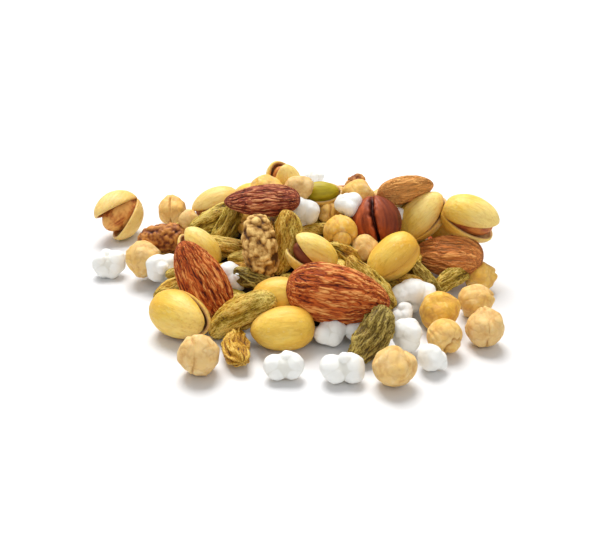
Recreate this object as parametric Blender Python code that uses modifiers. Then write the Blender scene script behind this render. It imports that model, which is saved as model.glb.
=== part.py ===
"""A loose heap of trail mix, lying on a bare table.

It holds almonds, pistachios in their split shells, roasted chickpeas, sugar-coated chickpeas, green
raisins, dried mulberries and one hazelnut, at their real size, over a smaller core that stands for the
pieces nobody can see. The heap is one solid. The few pieces that lie clear of it are solids of their own.

X runs to the viewer's right, Y away from the viewer and Z up. The heap stands on Z = 0, and the origin
is on the table, 6 mm in front of the point under the core's middle. Lengths are in metres.
"""

import math
from collections import namedtuple

import bmesh
import bpy
import numpy as np
from mathutils import Matrix

MM = 0.001

# Real sizes of the pieces: length, width and thickness, or a diameter
ALMOND = (24.0 * MM, 13.6 * MM, 8.6 * MM)
PISTACHIO = (17.6 * MM, 11.8 * MM, 11.4 * MM)
CHICKPEA = 10.4 * MM
SUGARED = 11.6 * MM
RAISIN = (18.5 * MM, 7.2 * MM, 5.4 * MM)
RAISIN_BEND = 0.8 * MM
MULBERRY = (18.0 * MM, 9.6 * MM, 9.0 * MM)
HAZELNUT = 14.0 * MM
SHELL_WALL = 0.9 * MM
KERNEL_TWIST = math.radians(17)
# The two halves of a shell are a little out of line with each other
SHELL_SLIP = (0.23 * MM, 0.17 * MM, 0.0)

# The core: a low dome, cut from a large ball
CORE_RADIUS = 43 * MM
CORE_HEIGHT = 15 * MM
CORE_LUMP = 1.2 * MM

# The dome that the middles of the pieces start on, over the core, and where both domes stand
HEAP_RADIUS = 58 * MM
HEAP_HEIGHT = 24 * MM
STAND = np.array((0.0, 6 * MM, 0.0))

# How the pieces settle: in small steps each sinks, is drawn to the heap, is pushed off what it overlaps
# and is held near its line of sight. They may overlap by the bite, which fuses them. What lies apart keeps
# clear.
STEPS = 800
SINK = 0.06 * MM
DRAW = 0.12 * MM
EAGER = 0.6
HOLD = 0.12
BITE = 1.1 * MM
CLEAR = 0.8 * MM
# Edges under this length, which the union leaves, are collapsed
SHORT = 0.6 * MM
LEAN_LIMIT = 0.8
# Loose scraps smaller than this are dropped without a word
SCRAP = 1 * MM**3
NEIGHBOUR = 9 * MM

# The viewer's eye, whose sight lines say where each piece lies
EYE = np.array((0.0, -0.205, 0.1064))
LOOK_DOWN = math.radians(27)
FOCAL_PIXELS = 800.0
PICTURE = (600, 547)

# A piece's place: the pixel of its middle, the turn of its long axis in the picture (anticlockwise from
# the right), the lean of that axis towards the eye, its roll about that axis, and its share of full size.
# A lean of LEVEL keeps the axis level, and a roll of FLAT turns the broad face up.
LEVEL = FLAT = None
FIELDS = "kind x y turn lean roll size node plan gape lobes"
Place = namedtuple("Place", FIELDS, defaults=(0, 0, 0, 1.0, "", False, 16, "cluster"))

# From the back of the heap to the front, as each one hides part of those before it
SEEN = (
    Place("sugared", 314, 177, 170, 0, 0, 0.75, "sugared_chickpea_behind", lobes="row"),
    Place("pistachio", 281, 183, 108, 40, 32, 0.84, gape=16),
    Place("chickpea", 265, 189, 8, 0, 180, 0.89),
    Place("chickpea", 172, 211, 92, 0, 0, 0.94, "chickpea_behind"),
    Place("chickpea", 296, 191, 30, 0, 150, 0.78),
    Place("half", 323, 190, 3, 0, -38, 0.74),
    Place("mulberry", 355, 189, 60, 10, 0, 0.60),
    Place("chickpea", 362, 195, 170, 0, 160, 0.91),
    Place("chickpea", 381, 198, 80, 0, 30, 0.50),
    Place("almond", 409, 188, 10, -15, 62, 0.73),
    Place("raisin", 407, 206, 50, 0, 0, 0.40),
    Place("chickpea", 395, 204, 20, 0, 120, 0.52),
    Place("sugared", 399, 214, 30, 0, 0, 0.54),
    Place("sugared", 354, 204, 20, 0, 0, 0.80),
    Place("chickpea", 333, 214, 88, 0, 0, 0.72),
    Place("pistachio", 472, 217, -27, 14, -44, 0.96, gape=20),
    Place("closed", 453, 226, -20, 0, 200, 0.86),
    Place("pistachio", 215, 205, 204, 8, 72, 0.86, gape=16),
    Place("pistachio", 120, 214, 238, 46, 66, 0.96, "pistachio_apart", gape=34),
    Place("chickpea", 186, 220, 0, 0, 180, 0.62),
    Place("mulberry", 162, 237, 6, 0, 0, 0.90),
    Place("raisin", 224, 223, 62, 0, 30, 0.85),
    Place("raisin", 210, 217, 27, 0, 0, 0.84),
    Place("chickpea", 241, 222, 285, 20, 10, 0.76),
    Place("sugared", 300, 214, 200, 0, 0, 1.08),
    Place("hazelnut", 375, 221, 98, 0, -8, 1.06),
    Place("almond", 260, 199, 182, 0, 62, 0.88),
    Place("pistachio", 425, 215, 44, 8, -46, 0.97, gape=8),
    Place("chickpea", 343, 235, 246, 30, 0, 0.98),
    Place("pistachio", 198, 250, 132, 0, 50, 0.78),
    Place("raisin", 226, 249, 172, -8, 20, 0.74),
    Place("raisin", 249, 280, 165, 0, 0, 0.62),
    Place("pistachio", 311, 258, 150, 14, 60, 0.80, gape=22),
    Place("chickpea", 368, 252, 140, 0, 60, 0.77),
    Place("raisin", 345, 259, -35, 0, 0, 0.65),
    Place("mulberry", 261, 250, 98, 0, 0, 1.0),
    Place("raisin", 285, 249, 80, 6, 0, 0.98),
    Place("almond", 450, 256, 174, -32, 12, 0.88),
    Place("closed", 394, 259, 222, 0, 58, 0.95),
    Place("raisin", 426, 278, -50, 0, 70, 0.78),
    Place("raisin", 370, 286, -48, 0, 0, 1.0),
    Place("chickpea", 482, 277, 10, 0, 170, 0.83),
    Place("raisin", 452, 284, 32, 0, 0, 0.64),
    Place("sugared", 416, 296, 0, 0, 0, 1.15, lobes="row"),
    Place("sugared", 403, 315, 40, 0, 0, 0.62),
    Place("sugared", 109, 264, 12, 0, 0, 0.96, "sugared_chickpea_left", lobes="pair"),
    Place("chickpea", 141, 256, 268, 0, 180, 1.00),
    Place("sugared", 160, 267, 220, 0, 0, 0.97),
    Place("raisin", 168, 291, 30, 0, 0, 0.60),
    Place("sugared", 234, 281, 125, 0, 0, 0.85, lobes="row"),
    Place("closed", 280, 301, 10, 0, 190, 0.82),
    Place("sugared", 333, 338, 20, 0, 30, 0.82),
    Place("almond", 200, 282, 118, 0, -12, 0.95),
    Place("raisin", 241, 318, 30, 12, 0, 1.09),
    Place("raisin", 235, 350, -70, LEVEL, 0, 0.86),
    Place("raisin", 372, 342, 55, -20, 0, 0.92),
    Place("almond", 337, 298, -10, 5, 8, 1.10),
    Place("chickpea", 475, 301, 20, 0, 140, 0.89, "chickpea_right_far"),
    Place("chickpea", 441, 314, 20, 0, 100, 0.99),
    Place("sugared", 409, 335, 110, 0, 0, 0.88, "sugared_chickpea_right_near"),
    Place("pistachio", 178, 320, -22, 24, 8, 0.98, gape=9),
    Place("closed", 283, 334, 184, 4, 175, 0.93),
    Place("chickpea", 485, 328, 92, 0, 0, 0.93, "chickpea_right"),
    Place("chickpea", 443, 338, 236, 34, 20, 0.90, "chickpea_right_curled"),
    Place("sugared", 432, 357, -10, 0, 0, 0.74, "sugared_chickpea_right", lobes="round"),
    Place("chickpea", 199, 355, 175, 0, 10, 0.99, "chickpea_front_left"),
    Place("sugared", 285, 367, 0, 0, 0, 0.88, "sugared_chickpea_front", lobes="pair"),
    Place("sugared", 344, 368, 4, 0, 0, 0.97, "sugared_chickpea_front_right", lobes="pair"),
    Place("chickpea", 393, 367, 10, 0, 200, 0.96, "chickpea_front_right"),
)

# What the photograph doesn't show: the back of the heap, with x and y in millimetres on the table
UNSEEN = (
    Place("almond", 13, 37, 22, 0, FLAT, 0.88, plan=True),
    Place("closed", -15, 40, 150, 0, 30, 0.88, plan=True),
    Place("chickpea", 0, 41, 40, 0, 20, 1.0, plan=True),
    Place("sugared", 28, 38, 70, 0, 0, 1.0, plan=True),
    Place("raisin", 20, 46, 160, 0, 0, 1.0, plan=True),
    Place("chickpea", 36, 27, 200, 0, 0, 0.95, plan=True),
    Place("raisin", -26, 27, 60, 0, 0, 1.0, plan=True),
    Place("almond", -27, 36, 118, 0, FLAT, 0.85, plan=True),
    Place("closed", 41, 36, 65, 0, 180, 0.9, plan=True),
    Place("chickpea", 12, 18, 0, 0, 90, 0.95, plan=True),
    Place("raisin", -3, 22, 20, 0, 0, 0.95, plan=True),
    Place("sugared", 9, 49, 30, 0, 0, 0.85, plan=True),
    Place("chickpea", -4, 50, 300, 0, 0, 0.90, plan=True),
    Place("raisin", -18, 17, 100, 0, 0, 0.9, plan=True),
    Place("mulberry", -5, 31, 85, 0, 0, 0.9, plan=True),
    Place("chickpea", 26, 21, 0, 0, 0, 0.9, plan=True),
    Place("almond", 45, 14, 100, 0, FLAT, 0.9, plan=True),
    Place("raisin", -33, 14, 30, 0, 0, 1.0, plan=True),
    Place("sugared", -21, 32, 50, 0, 0, 0.9, plan=True),
    Place("closed", 31, 48, 12, 0, 20, 0.88, plan=True),
    Place("raisin", -12, 26, 140, 0, 0, 0.9, plan=True),
    Place("chickpea", 18, 25, 70, 0, 0, 0.85, plan=True),
    Place("raisin", 48, 25, 82, 0, 0, 0.95, plan=True),
    Place("sugared", 14, -35, 40, 0, 0, 0.72, plan=True),
    Place("chickpea", -31, 45, 0, 0, 0, 0.9, plan=True),
)
PLACES = UNSEEN + SEEN


class View:
    """Which way the picture's right, its up and the eye lie."""

    def __init__(self, right, up, toward):
        self.right, self.up, self.toward = (np.array(v, float) for v in (right, up, toward))

    def frame(self, turn, lean, roll):
        """The long axis, the width and the broad face's outward way of a piece, as columns."""
        turn = math.radians(turn)
        if lean is LEVEL:
            lean = -math.atan2(math.sin(turn) * self.up[2], self.toward[2])
        else:
            lean = math.radians(lean)
        in_picture = math.cos(turn) * self.right + math.sin(turn) * self.up
        axis = math.cos(lean) * in_picture + math.sin(lean) * self.toward
        faced = np.array((0.0, 0.0, 1.0)) if roll is FLAT else self.toward
        face = faced - (faced @ axis) * axis
        face /= np.linalg.norm(face)
        spin = math.radians(roll or 0)
        face = math.cos(spin) * face + math.sin(spin) * np.cross(axis, face)
        return np.column_stack((axis, np.cross(face, axis), face))


PHOTOGRAPH = View(
    (1, 0, 0),
    (0, math.sin(LOOK_DOWN), math.cos(LOOK_DOWN)),
    (0, -math.cos(LOOK_DOWN), math.sin(LOOK_DOWN)),
)
PLAN = View((1, 0, 0), (0, 1, 0), (0, 0, 1))


def dome(radius, height):
    """The radius of the ball that a dome is cut from, and the middle of that ball."""
    ball = (radius**2 + height**2) / (2 * height)
    return ball, STAND + np.array((0, 0, height - ball))


HEAP_BALL, HEAP_MIDDLE = dome(HEAP_RADIUS, HEAP_HEIGHT)
CORE_BALL, CORE_MIDDLE = dome(CORE_RADIUS, CORE_HEIGHT)


def sight_line(x, y):
    """The unit direction from the eye through a pixel of the picture."""
    across = (x - PICTURE[0] / 2) / FOCAL_PIXELS
    upward = (PICTURE[1] / 2 - y) / FOCAL_PIXELS
    way = across * PHOTOGRAPH.right + upward * PHOTOGRAPH.up - PHOTOGRAPH.toward
    return way / np.linalg.norm(way)


def row_of_balls(length, across, radius, ends, count):
    """Balls along the long axis, thinner towards the two ends: x, y, z and radius of each."""
    x = np.linspace(-1, 1, count)
    r = radius * (1 - (1 - ends) * x**2)
    return np.column_stack((x * (length / 2 - radius * ends), np.full(count, across), 0 * x, r))


# The lobes of a sugared chickpea, as shares of its radius: where each lies, and its own radius
LOBES = {
    "cluster": (
        (0.42, 0.05, 0, 0.57),
        (-0.42, 0.12, 0.08, 0.56),
        (0.06, -0.26, 0.26, 0.55),
        (0, 0.18, -0.28, 0.55),
    ),
    "pair": (
        (-0.47, 0.10, 0, 0.55),
        (0.47, 0.12, 0, 0.56),
        (-0.36, -0.24, 0.10, 0.46),
        (0.38, -0.22, 0.05, 0.48),
        (0, 0.08, -0.1, 0.52),
    ),
    "row": (
        (-0.58, -0.10, 0, 0.44),
        (-0.08, 0.08, 0.05, 0.58),
        (0.46, 0.02, 0.05, 0.52),
        (0.20, -0.24, -0.05, 0.46),
    ),
    "round": ((-0.12, 0, 0, 0.80), (0.62, -0.28, 0.05, 0.36), (-0.35, 0.32, 0.25, 0.50)),
}


def balls_of(place):
    """The balls that stand for a piece as it is laid: x, y, z and radius of each, in its own frame."""
    kind, size = place.kind, place.size
    if kind == "almond":
        length, width, thick = (size * d for d in ALMOND)
        rows = [
            row_of_balls(length, 0, thick * 0.47, 0.62, 5),
            row_of_balls(length * 0.72, width * 0.22, thick * 0.40, 0.8, 3),
            row_of_balls(length * 0.72, -width * 0.22, thick * 0.40, 0.8, 3),
        ]
        return np.vstack(rows)
    if kind in ("pistachio", "half", "closed"):
        length, width, thick = (size * d for d in PISTACHIO)
        half = row_of_balls(length, 0, (width + thick) / 4, 0.62, 5)
        if kind != "pistachio":
            return half
        swung = (half[:, 0] + 0.42 * length) * math.sin(math.radians(place.gape / 2))
        return np.vstack([half + np.outer(side * swung, (0, 0, 1, 0)) for side in (1, -1)])
    if kind == "chickpea":
        return np.array([(0, 0, 0, size * CHICKPEA / 2)])
    if kind == "sugared":
        radius = size * SUGARED / 2
        return radius * np.array(LOBES[place.lobes])
    if kind == "raisin":
        length, width, thick = (size * d for d in RAISIN)
        return row_of_balls(length, 0, (width + thick) / 4, 0.7, 5)
    if kind == "mulberry":
        length, width, thick = (size * d for d in MULBERRY)
        return row_of_balls(length, 0, (width + thick) / 4, 0.7, 5)
    return np.array([(0, 0, 0, size * HAZELNUT / 2)])


# The length, width and thickness of the kinds that are not round
THREE_SIZES = {
    "almond": ALMOND,
    "pistachio": PISTACHIO,
    "half": PISTACHIO,
    "closed": PISTACHIO,
    "raisin": RAISIN,
    "mulberry": MULBERRY,
}


def reach_down(place, axes):
    """How far a piece reaches below its middle, as the ellipsoid of its three sizes."""
    half_sizes = place.size * np.array(THREE_SIZES.get(place.kind, (0, 0, 0))) / 2
    bend = RAISIN_BEND if place.kind == "raisin" else 0
    return float(np.linalg.norm(half_sizes * axes[2])) + bend


def start_of(place, balls):
    """Where a piece starts, and the way it slides: where its line of sight meets the heap, or the table."""
    if place.plan:
        origin, way = np.array((place.x * MM, place.y * MM, 0.2)), np.array((0.0, 0.0, -1.0))
    else:
        origin, way = EYE, sight_line(place.x, place.y)
    centre = balls[:, :3] + origin
    to_table = ((centre[:, 2] - balls[:, 3]) / -way[2]).min()
    if place.lean is LEVEL or place.node:
        return origin, way, to_table
    from_heap = origin - HEAP_MIDDLE
    along = from_heap @ way
    to_heap = -along - math.sqrt(max(along**2 - from_heap @ from_heap + HEAP_BALL**2, 0))
    return origin, way, min(to_table, to_heap)


def settled():
    """Each piece's place, its axes and its middle, once all have sunk and pushed each other aside."""
    axes = [(PLAN if p.plan else PHOTOGRAPH).frame(p.turn, p.lean, p.roll) for p in PLACES]
    balls = [balls_of(p) for p in PLACES]
    balls = [np.column_stack((b[:, :3] @ a.T, b[:, 3])) for a, b in zip(axes, balls)]
    starts = [start_of(p, b) for p, b in zip(PLACES, balls)]
    origin, way = (np.array(part) for part in list(zip(*starts))[:2])
    middle = origin + way * np.array([[s[2]] for s in starts])
    owner = np.repeat(np.arange(len(PLACES)), [len(b) for b in balls])
    balls = np.vstack(balls)
    first, second = np.nonzero(owner[:, None] < owner[None, :])
    at = middle[owner] + balls[:, :3]
    near = np.linalg.norm(at[first] - at[second], axis=1)
    close = near < balls[first, 3] + balls[second, 3] + NEIGHBOUR
    first, second = first[close], second[close]
    clear = np.array([p.node != "" for p in PLACES])
    bite = np.where(clear[owner[first]] | clear[owner[second]], -CLEAR, BITE)
    reach = balls[first, 3] + balls[second, 3] - bite
    down = np.array([reach_down(p, a) for p, a in zip(PLACES, axes)])
    for step in range(STEPS):
        inward = (STAND - middle) * (1, 1, 0)
        middle += (DRAW * ~clear / np.linalg.norm(inward, axis=1))[:, None] * inward
        middle[:, 2] -= SINK
        at = middle[owner] + balls[:, :3]
        gap = at[first] - at[second]
        far = np.linalg.norm(gap, axis=1)
        deep = np.maximum(reach - far, 0)
        push = gap * (deep / far)[:, None] / 2
        from_core = at - CORE_MIDDLE
        away = np.linalg.norm(from_core, axis=1)
        into_core = np.maximum(CORE_BALL + balls[:, 3] - BITE - away, 0)
        outward = from_core * (into_core / away)[:, None]
        move = np.zeros_like(middle)
        touching = np.ones(len(middle))
        np.add.at(move, owner[first], push)
        np.add.at(move, owner[second], -push)
        np.add.at(move, owner, outward)
        np.add.at(touching, owner[first], deep > 0)
        np.add.at(touching, owner[second], deep > 0)
        np.add.at(touching, owner, into_core > 0)
        middle += EAGER * move / np.sqrt(touching)[:, None]
        off = middle - origin
        aside = off - (off * way).sum(axis=1)[:, None] * way
        middle -= HOLD * aside
        lowest = middle[:, 2] - down
        np.minimum.at(lowest, owner, (middle[owner] + balls[:, :3])[:, 2] - balls[:, 3])
        middle[:, 2] += np.maximum(-lowest, 0)
    return list(zip(PLACES, axes, middle))


# The pieces' shapes. Each takes points of a unit ball as their share c of the way along the axis, the
# radius there and the angle round the axis, and gives x, y, z in the piece's own frame.


def almond_shape(c, ring, angle, place, seed):
    """A flattened drop, broad at its tail, with shallow ridges along it."""
    length, width, thick = (place.size * d / 2 for d in ALMOND)
    wide = ring**0.88 * (1 - 0.19 * c - 0.09 * np.maximum(c, 0) ** 3)
    ridge = 1 + 0.022 * np.cos(8 * angle + seed) * ring
    return length * c, width * wide * np.cos(angle) * ridge, thick * wide * np.sin(angle) * ridge


def chickpea_shape(c, ring, angle, place, seed):
    """A ball with a beak at its head and a cleft from the beak over its face."""
    radius = place.size * CHICKPEA / 2
    on_face = np.exp(-(((np.sin(angle) - 1) / 0.08) ** 2)) * ring
    out = 1 - 0.20 * on_face * (c > -0.8) + 0.10 * np.clip(c - 0.75, 0, 1) / 0.25
    out = out * (1 + 0.03 * np.cos(3 * angle + seed) * ring)
    return radius * c * out, radius * ring * np.cos(angle) * out, 0.97 * radius * ring * np.sin(angle) * out


def sugared_shape(c, ring, angle, place, seed):
    """A lumpy sugar crust: the outermost of a few overlapping lobes, seen from the middle."""
    ways = np.column_stack((c, ring * np.cos(angle), ring * np.sin(angle)))
    lobes = np.array(LOBES[place.lobes])
    along = ways @ lobes[:, :3].T
    reach = along**2 - (lobes[:, :3] ** 2).sum(axis=1) + lobes[:, 3] ** 2
    out = np.where(reach > 0, along + np.sqrt(np.maximum(reach, 0)), 0.45).max(axis=1)
    x, y, z = (ways * (place.size * SUGARED / 2 * out)[:, None]).T
    return x, y, z


def raisin_shape(c, ring, angle, place, seed):
    """A long drop with deep folds along it, bent a little to one side."""
    length, width, thick = (place.size * d / 2 for d in RAISIN)
    fold = 1 + 0.11 * np.cos(6 * angle)
    wide = ring**0.9 * (1 + 0.12 * c) * fold
    bend = RAISIN_BEND * math.cos(seed) * (1 - 2 * c**2)
    return length * c, width * wide * np.cos(angle) + bend, thick * wide * np.sin(angle)


def mulberry_shape(c, ring, angle, place, seed):
    """A blunt spindle covered in rows of small round fruitlets."""
    length, width, thick = (place.size * d / 2 for d in MULBERRY)
    row = np.arccos(np.clip(c, -1, 1)) / math.pi * 6
    bump = 1 + 0.10 * np.cos(7 * angle) * np.cos(math.pi * row) * ring
    wide = ring**0.8 * bump
    return length * c * (1 + 0.02 * bump), width * wide * np.cos(angle), thick * wide * np.sin(angle)


def hazelnut_shape(c, ring, angle, place, seed):
    """A ball, pointed a little at its head, with a crack down its face."""
    radius = place.size * HAZELNUT / 2
    crack = np.exp(-(((np.sin(angle) - 1) / 0.05) ** 2)) * ring
    out = 1 - 0.13 * crack + 0.05 * np.clip(c, 0, 1) ** 4
    return radius * c * out, radius * ring * np.cos(angle) * out, radius * ring * np.sin(angle) * out


def shell_shape(c, ring, angle, place, seed):
    """A pistachio's shell, closed: an egg with a slightly pointed head."""
    length, width, thick = (place.size * d / 2 for d in PISTACHIO)
    wide = ring * (1 - 0.10 * c)
    return length * c, width * wide * np.cos(angle), thick * wide * np.sin(angle)


def kernel_shape(c, ring, angle, place, seed):
    """A pistachio's kernel, which fills its shell."""
    length, width, thick = (place.size * d / 2 - 0.45 * SHELL_WALL for d in PISTACHIO)
    wide = ring * (1 - 0.10 * c)
    angle = angle + KERNEL_TWIST
    return length * c * 0.94, width * wide * np.cos(angle), thick * wide * np.sin(angle)


COLOURS = {
    "core": (0.30, 0.17, 0.07),
    "almond": (0.45, 0.17, 0.07),
    "shell": (0.82, 0.64, 0.28),
    "kernel": (0.42, 0.14, 0.06),
    "chickpea": (0.80, 0.55, 0.24),
    "sugared": (0.88, 0.88, 0.84),
    "raisin": (0.34, 0.30, 0.06),
    "mulberry": (0.50, 0.29, 0.11),
    "hazelnut": (0.26, 0.07, 0.04),
}


def material(name):
    """A plain food surface of the kind's colour."""
    found = bpy.data.materials.get(name)
    if found:
        return found
    made = bpy.data.materials.new(name)
    made.use_nodes = True
    made.diffuse_color = (*COLOURS[name], 1)
    surface = made.node_tree.nodes["Principled BSDF"]
    surface.inputs["Base Color"].default_value = (*COLOURS[name], 1)
    surface.inputs["Roughness"].default_value = 0.6
    surface.inputs["Metallic"].default_value = 0.0
    return made


def new_object(name, mesh, colour, collection):
    """A named object for a mesh, in a collection. Every mesh lists all materials, and uses its own."""
    for each in COLOURS:
        mesh.materials.append(material(each))
    mesh.polygons.foreach_set("material_index", [list(COLOURS).index(colour)] * len(mesh.polygons))
    made = bpy.data.objects.new(name, mesh)
    collection.objects.link(made)
    return made


def shaped_ball(shape, segments, rings, place, seed):
    """A UV sphere, its poles on the long axis, with its points moved by a shape."""
    form = bmesh.new()
    bmesh.ops.create_uvsphere(form, u_segments=segments, v_segments=rings, radius=1)
    form.verts.ensure_lookup_table()
    points = np.array([v.co for v in form.verts])
    c = points[:, 2]
    ring = np.hypot(points[:, 0], points[:, 1])
    angle = np.arctan2(points[:, 1], points[:, 0])
    for vertex, moved in zip(form.verts, zip(*shape(c, ring, angle, place, seed))):
        vertex.co = moved
    return form


def piece_mesh(name, form):
    """A form as a mesh."""
    mesh = bpy.data.meshes.new(name)
    form.to_mesh(mesh)
    form.free()
    return mesh


# The shape of each kind, and the segments and rings of its ball
FORMS = {
    "almond": (almond_shape, 10, 8),
    "chickpea": (chickpea_shape, 8, 6),
    "sugared": (sugared_shape, 8, 7),
    "raisin": (raisin_shape, 6, 6),
    "mulberry": (mulberry_shape, 8, 8),
    "hazelnut": (hazelnut_shape, 10, 8),
    "closed": (shell_shape, 8, 7),
}
HALF_SHELL = (8, 6)
KERNEL = (6, 5)
# The halves of an open shell that are there: 1 is the upper one, -1 the lower one
SIDES = {"pistachio": (1, -1), "half": (-1,)}


def half_shell(name, place, side, collection):
    """Half a pistachio's shell, swung open about its hinge at the tail. side is 1 or -1."""
    form = shaped_ball(shell_shape, *HALF_SHELL, place, 0)
    every = form.verts[:] + form.edges[:] + form.faces[:]
    bmesh.ops.bisect_plane(form, geom=every, plane_co=(0, 0, 0), plane_no=(0, 0, -side), clear_outer=True)
    hinge = Matrix.Translation((-0.42 * place.size * PISTACHIO[0], 0, 0))
    swing = hinge @ Matrix.Rotation(-side * math.radians(place.gape / 2), 4, "Y") @ hinge.inverted()
    slip = Matrix.Translation([max(side, 0) * s for s in SHELL_SLIP])
    bmesh.ops.transform(form, matrix=slip @ swing, verts=form.verts)
    made = new_object(name, piece_mesh(name, form), "shell", collection)
    wall = made.modifiers.new("Wall", "SOLIDIFY")
    wall.thickness = SHELL_WALL
    wall.offset = -1
    return made


def make_piece(index, place, axes, middle, collection):
    """The object or objects of one piece, where it lies."""
    name = f"{place.kind}_{index:02d}"
    seed = index * 1.7
    if place.kind in SIDES:
        sides = SIDES[place.kind]
        made = [half_shell(f"{name}_{'upper' if s > 0 else 'lower'}", place, s, collection) for s in sides]
        kernel = piece_mesh(name, shaped_ball(kernel_shape, *KERNEL, place, seed))
        made.append(new_object(f"{name}_kernel", kernel, "kernel", collection))
    else:
        shape, segments, rings = FORMS[place.kind]
        mesh = piece_mesh(name, shaped_ball(shape, segments, rings, place, seed))
        made = [new_object(name, mesh, "shell" if place.kind == "closed" else place.kind, collection)]
    for obj in made:
        obj.data.transform(Matrix.Translation(middle) @ Matrix(axes.tolist()).to_4x4())
        obj.modifiers.new("Triangles", "TRIANGULATE")
    return made


def make_core(collection):
    """A low lumpy dome with a flat foot, cut from a large ball."""
    form = bmesh.new()
    bmesh.ops.create_uvsphere(form, u_segments=20, v_segments=34, radius=CORE_BALL)
    bmesh.ops.translate(form, verts=form.verts, vec=CORE_MIDDLE)
    every = form.verts[:] + form.edges[:] + form.faces[:]
    bmesh.ops.bisect_plane(form, geom=every, plane_co=(0, 0, 0), plane_no=(0, 0, -1), clear_outer=True)
    bmesh.ops.holes_fill(form, edges=form.edges)
    form.normal_update()
    bmesh.ops.recalc_face_normals(form, faces=form.faces)
    for vertex in form.verts:
        x, y, z = vertex.co
        if z > 1e-5:
            vertex.co.z += CORE_LUMP * abs(math.sin(x / (5 * MM)) * math.cos(y / (5 * MM)))
    bmesh.ops.triangulate(form, faces=form.faces)
    return new_object("trail_mix_heap", piece_mesh("trail_mix_heap", form), "core", collection)


def islands(form):
    """The faces of a form, as sets that hang together."""
    left = set(form.faces)
    while left:
        edge = {left.pop()}
        island = set(edge)
        while edge:
            edge = {f for face in edge for e in face.edges for f in e.link_faces} & left
            left -= edge
            island |= edge
        yield island


def middle_of(island):
    """The mean point of an island's corners, in millimetres."""
    points = [v.co for f in island for v in f.verts]
    return [round(sum(p[i] for p in points) / len(points) * 1000, 1) for i in range(3)]


def volume_of(island):
    """The volume inside a closed set of triangles, negative where they face inwards."""
    return sum(f.verts[0].co.dot(f.verts[1].co.cross(f.verts[2].co)) for f in island) / 6


def into_triangles(form):
    """Cuts faces into triangles. Two that would be cut along the same line are cut from their middle."""
    between = [v for v in form.verts if len(v.link_edges) == 2]
    straight = [v for v in between if min(len(f.verts) for f in v.link_faces) > 3]
    bmesh.ops.dissolve_verts(form, verts=straight)
    trial = form.copy()
    bmesh.ops.triangulate(trial, faces=trial.faces)
    twice = [{v.index for v in e.verts} for e in trial.edges if len(e.link_faces) > 2]
    trial.free()
    form.verts.index_update()
    sharing = [f for f in form.faces if any(pair <= {v.index for v in f.verts} for pair in twice)]
    bmesh.ops.poke(form, faces=sharing)
    bmesh.ops.triangulate(form, faces=form.faces)


def turns_over(face, ends, merged):
    """Whether a triangle would turn over, or shrink to a line, if the ends of an edge met at merged."""
    before = face.normal
    points = [merged if v in ends else v.co for v in face.verts]
    after = (points[1] - points[0]).cross(points[2] - points[0])
    return after.dot(before) <= LEAN_LIMIT * after.length or after.length < 1e-12


def collapse_short(form):
    """Welds the ends of short edges where this keeps the surface closed and simple. Returns how many."""
    form.normal_update()
    touched = set()
    welds = {}
    for edge in form.edges:
        ends = edge.verts[:]
        if edge.calc_length() > SHORT:
            continue
        around = [{e.other_vert(v) for e in v.link_edges} for v in ends]
        if touched & (around[0] | around[1]):
            continue
        merged = (ends[0].co + ends[1].co) / 2
        ring = {f for v in ends for f in v.link_faces} - set(edge.link_faces)
        if len(around[0] & around[1]) != 2 or any(turns_over(f, ends, merged) for f in ring):
            continue
        ends[0].co = merged
        welds[ends[1]] = ends[0]
        touched |= around[0] | around[1]
    bmesh.ops.weld_verts(form, targetmap=welds)
    return len(welds)


def fuse(base, collection):
    """Joins every object of a collection to base, fills hollows that this seals and drops loose scraps."""
    if len(collection.objects):
        union = base.modifiers.new("Fuse", "BOOLEAN")
        union.operation = "UNION"
        union.operand_type = "COLLECTION"
        union.collection = collection
        union.solver = "MANIFOLD"
    graph = bpy.context.evaluated_depsgraph_get()
    mesh = bpy.data.meshes.new_from_object(base.evaluated_get(graph))
    base.modifiers.clear()
    form = bmesh.new()
    form.from_mesh(mesh)
    into_triangles(form)
    found = sorted(islands(form), key=volume_of, reverse=True)
    for island in found[1:]:
        if abs(volume_of(island)) > SCRAP:
            print("left out of", base.name, round(volume_of(island) / MM**3), "mm3 at", middle_of(island))
        bmesh.ops.delete(form, geom=list(island), context="FACES")
    for vertex in [v for v in form.verts if not v.link_faces]:
        form.verts.remove(vertex)
    while collapse_short(form):
        pass
    form.to_mesh(mesh)
    form.free()
    base.data = mesh
    for obj in list(collection.objects):
        bpy.data.objects.remove(obj)


def keep_used_materials(mesh):
    """Drops the materials that no face of a mesh uses."""
    slots = np.array([face.material_index for face in mesh.polygons])
    used, slots = np.unique(slots, return_inverse=True)
    kept = [mesh.materials[i] for i in used]
    mesh.materials.clear()
    for each in kept:
        mesh.materials.append(each)
    mesh.polygons.foreach_set("material_index", slots.ravel().tolist())


def main():
    for obj in list(bpy.data.objects):
        bpy.data.objects.remove(obj)
    trail_mix = bpy.data.collections.new("trail_mix")
    bpy.context.scene.collection.children.link(trail_mix)
    loose = bpy.data.collections.new("pieces_to_fuse")
    bpy.context.scene.collection.children.link(loose)
    core = make_core(trail_mix)
    lying_apart = []
    for index, (place, axes, middle) in enumerate(settled()):
        if place.node:
            lying_apart.append((index, place, axes, middle))
        else:
            make_piece(index, place, axes, middle, loose)
    fuse(core, loose)
    for index, place, axes, middle in lying_apart:
        first, *others = make_piece(index, place, axes, middle, trail_mix)
        for other in others:
            trail_mix.objects.unlink(other)
            loose.objects.link(other)
        fuse(first, loose)
        first.name = first.data.name = place.node
    bpy.data.collections.remove(loose)
    for obj in trail_mix.objects:
        keep_used_materials(obj.data)
        print(obj.name, len(obj.data.polygons), "triangles")


main()
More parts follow.
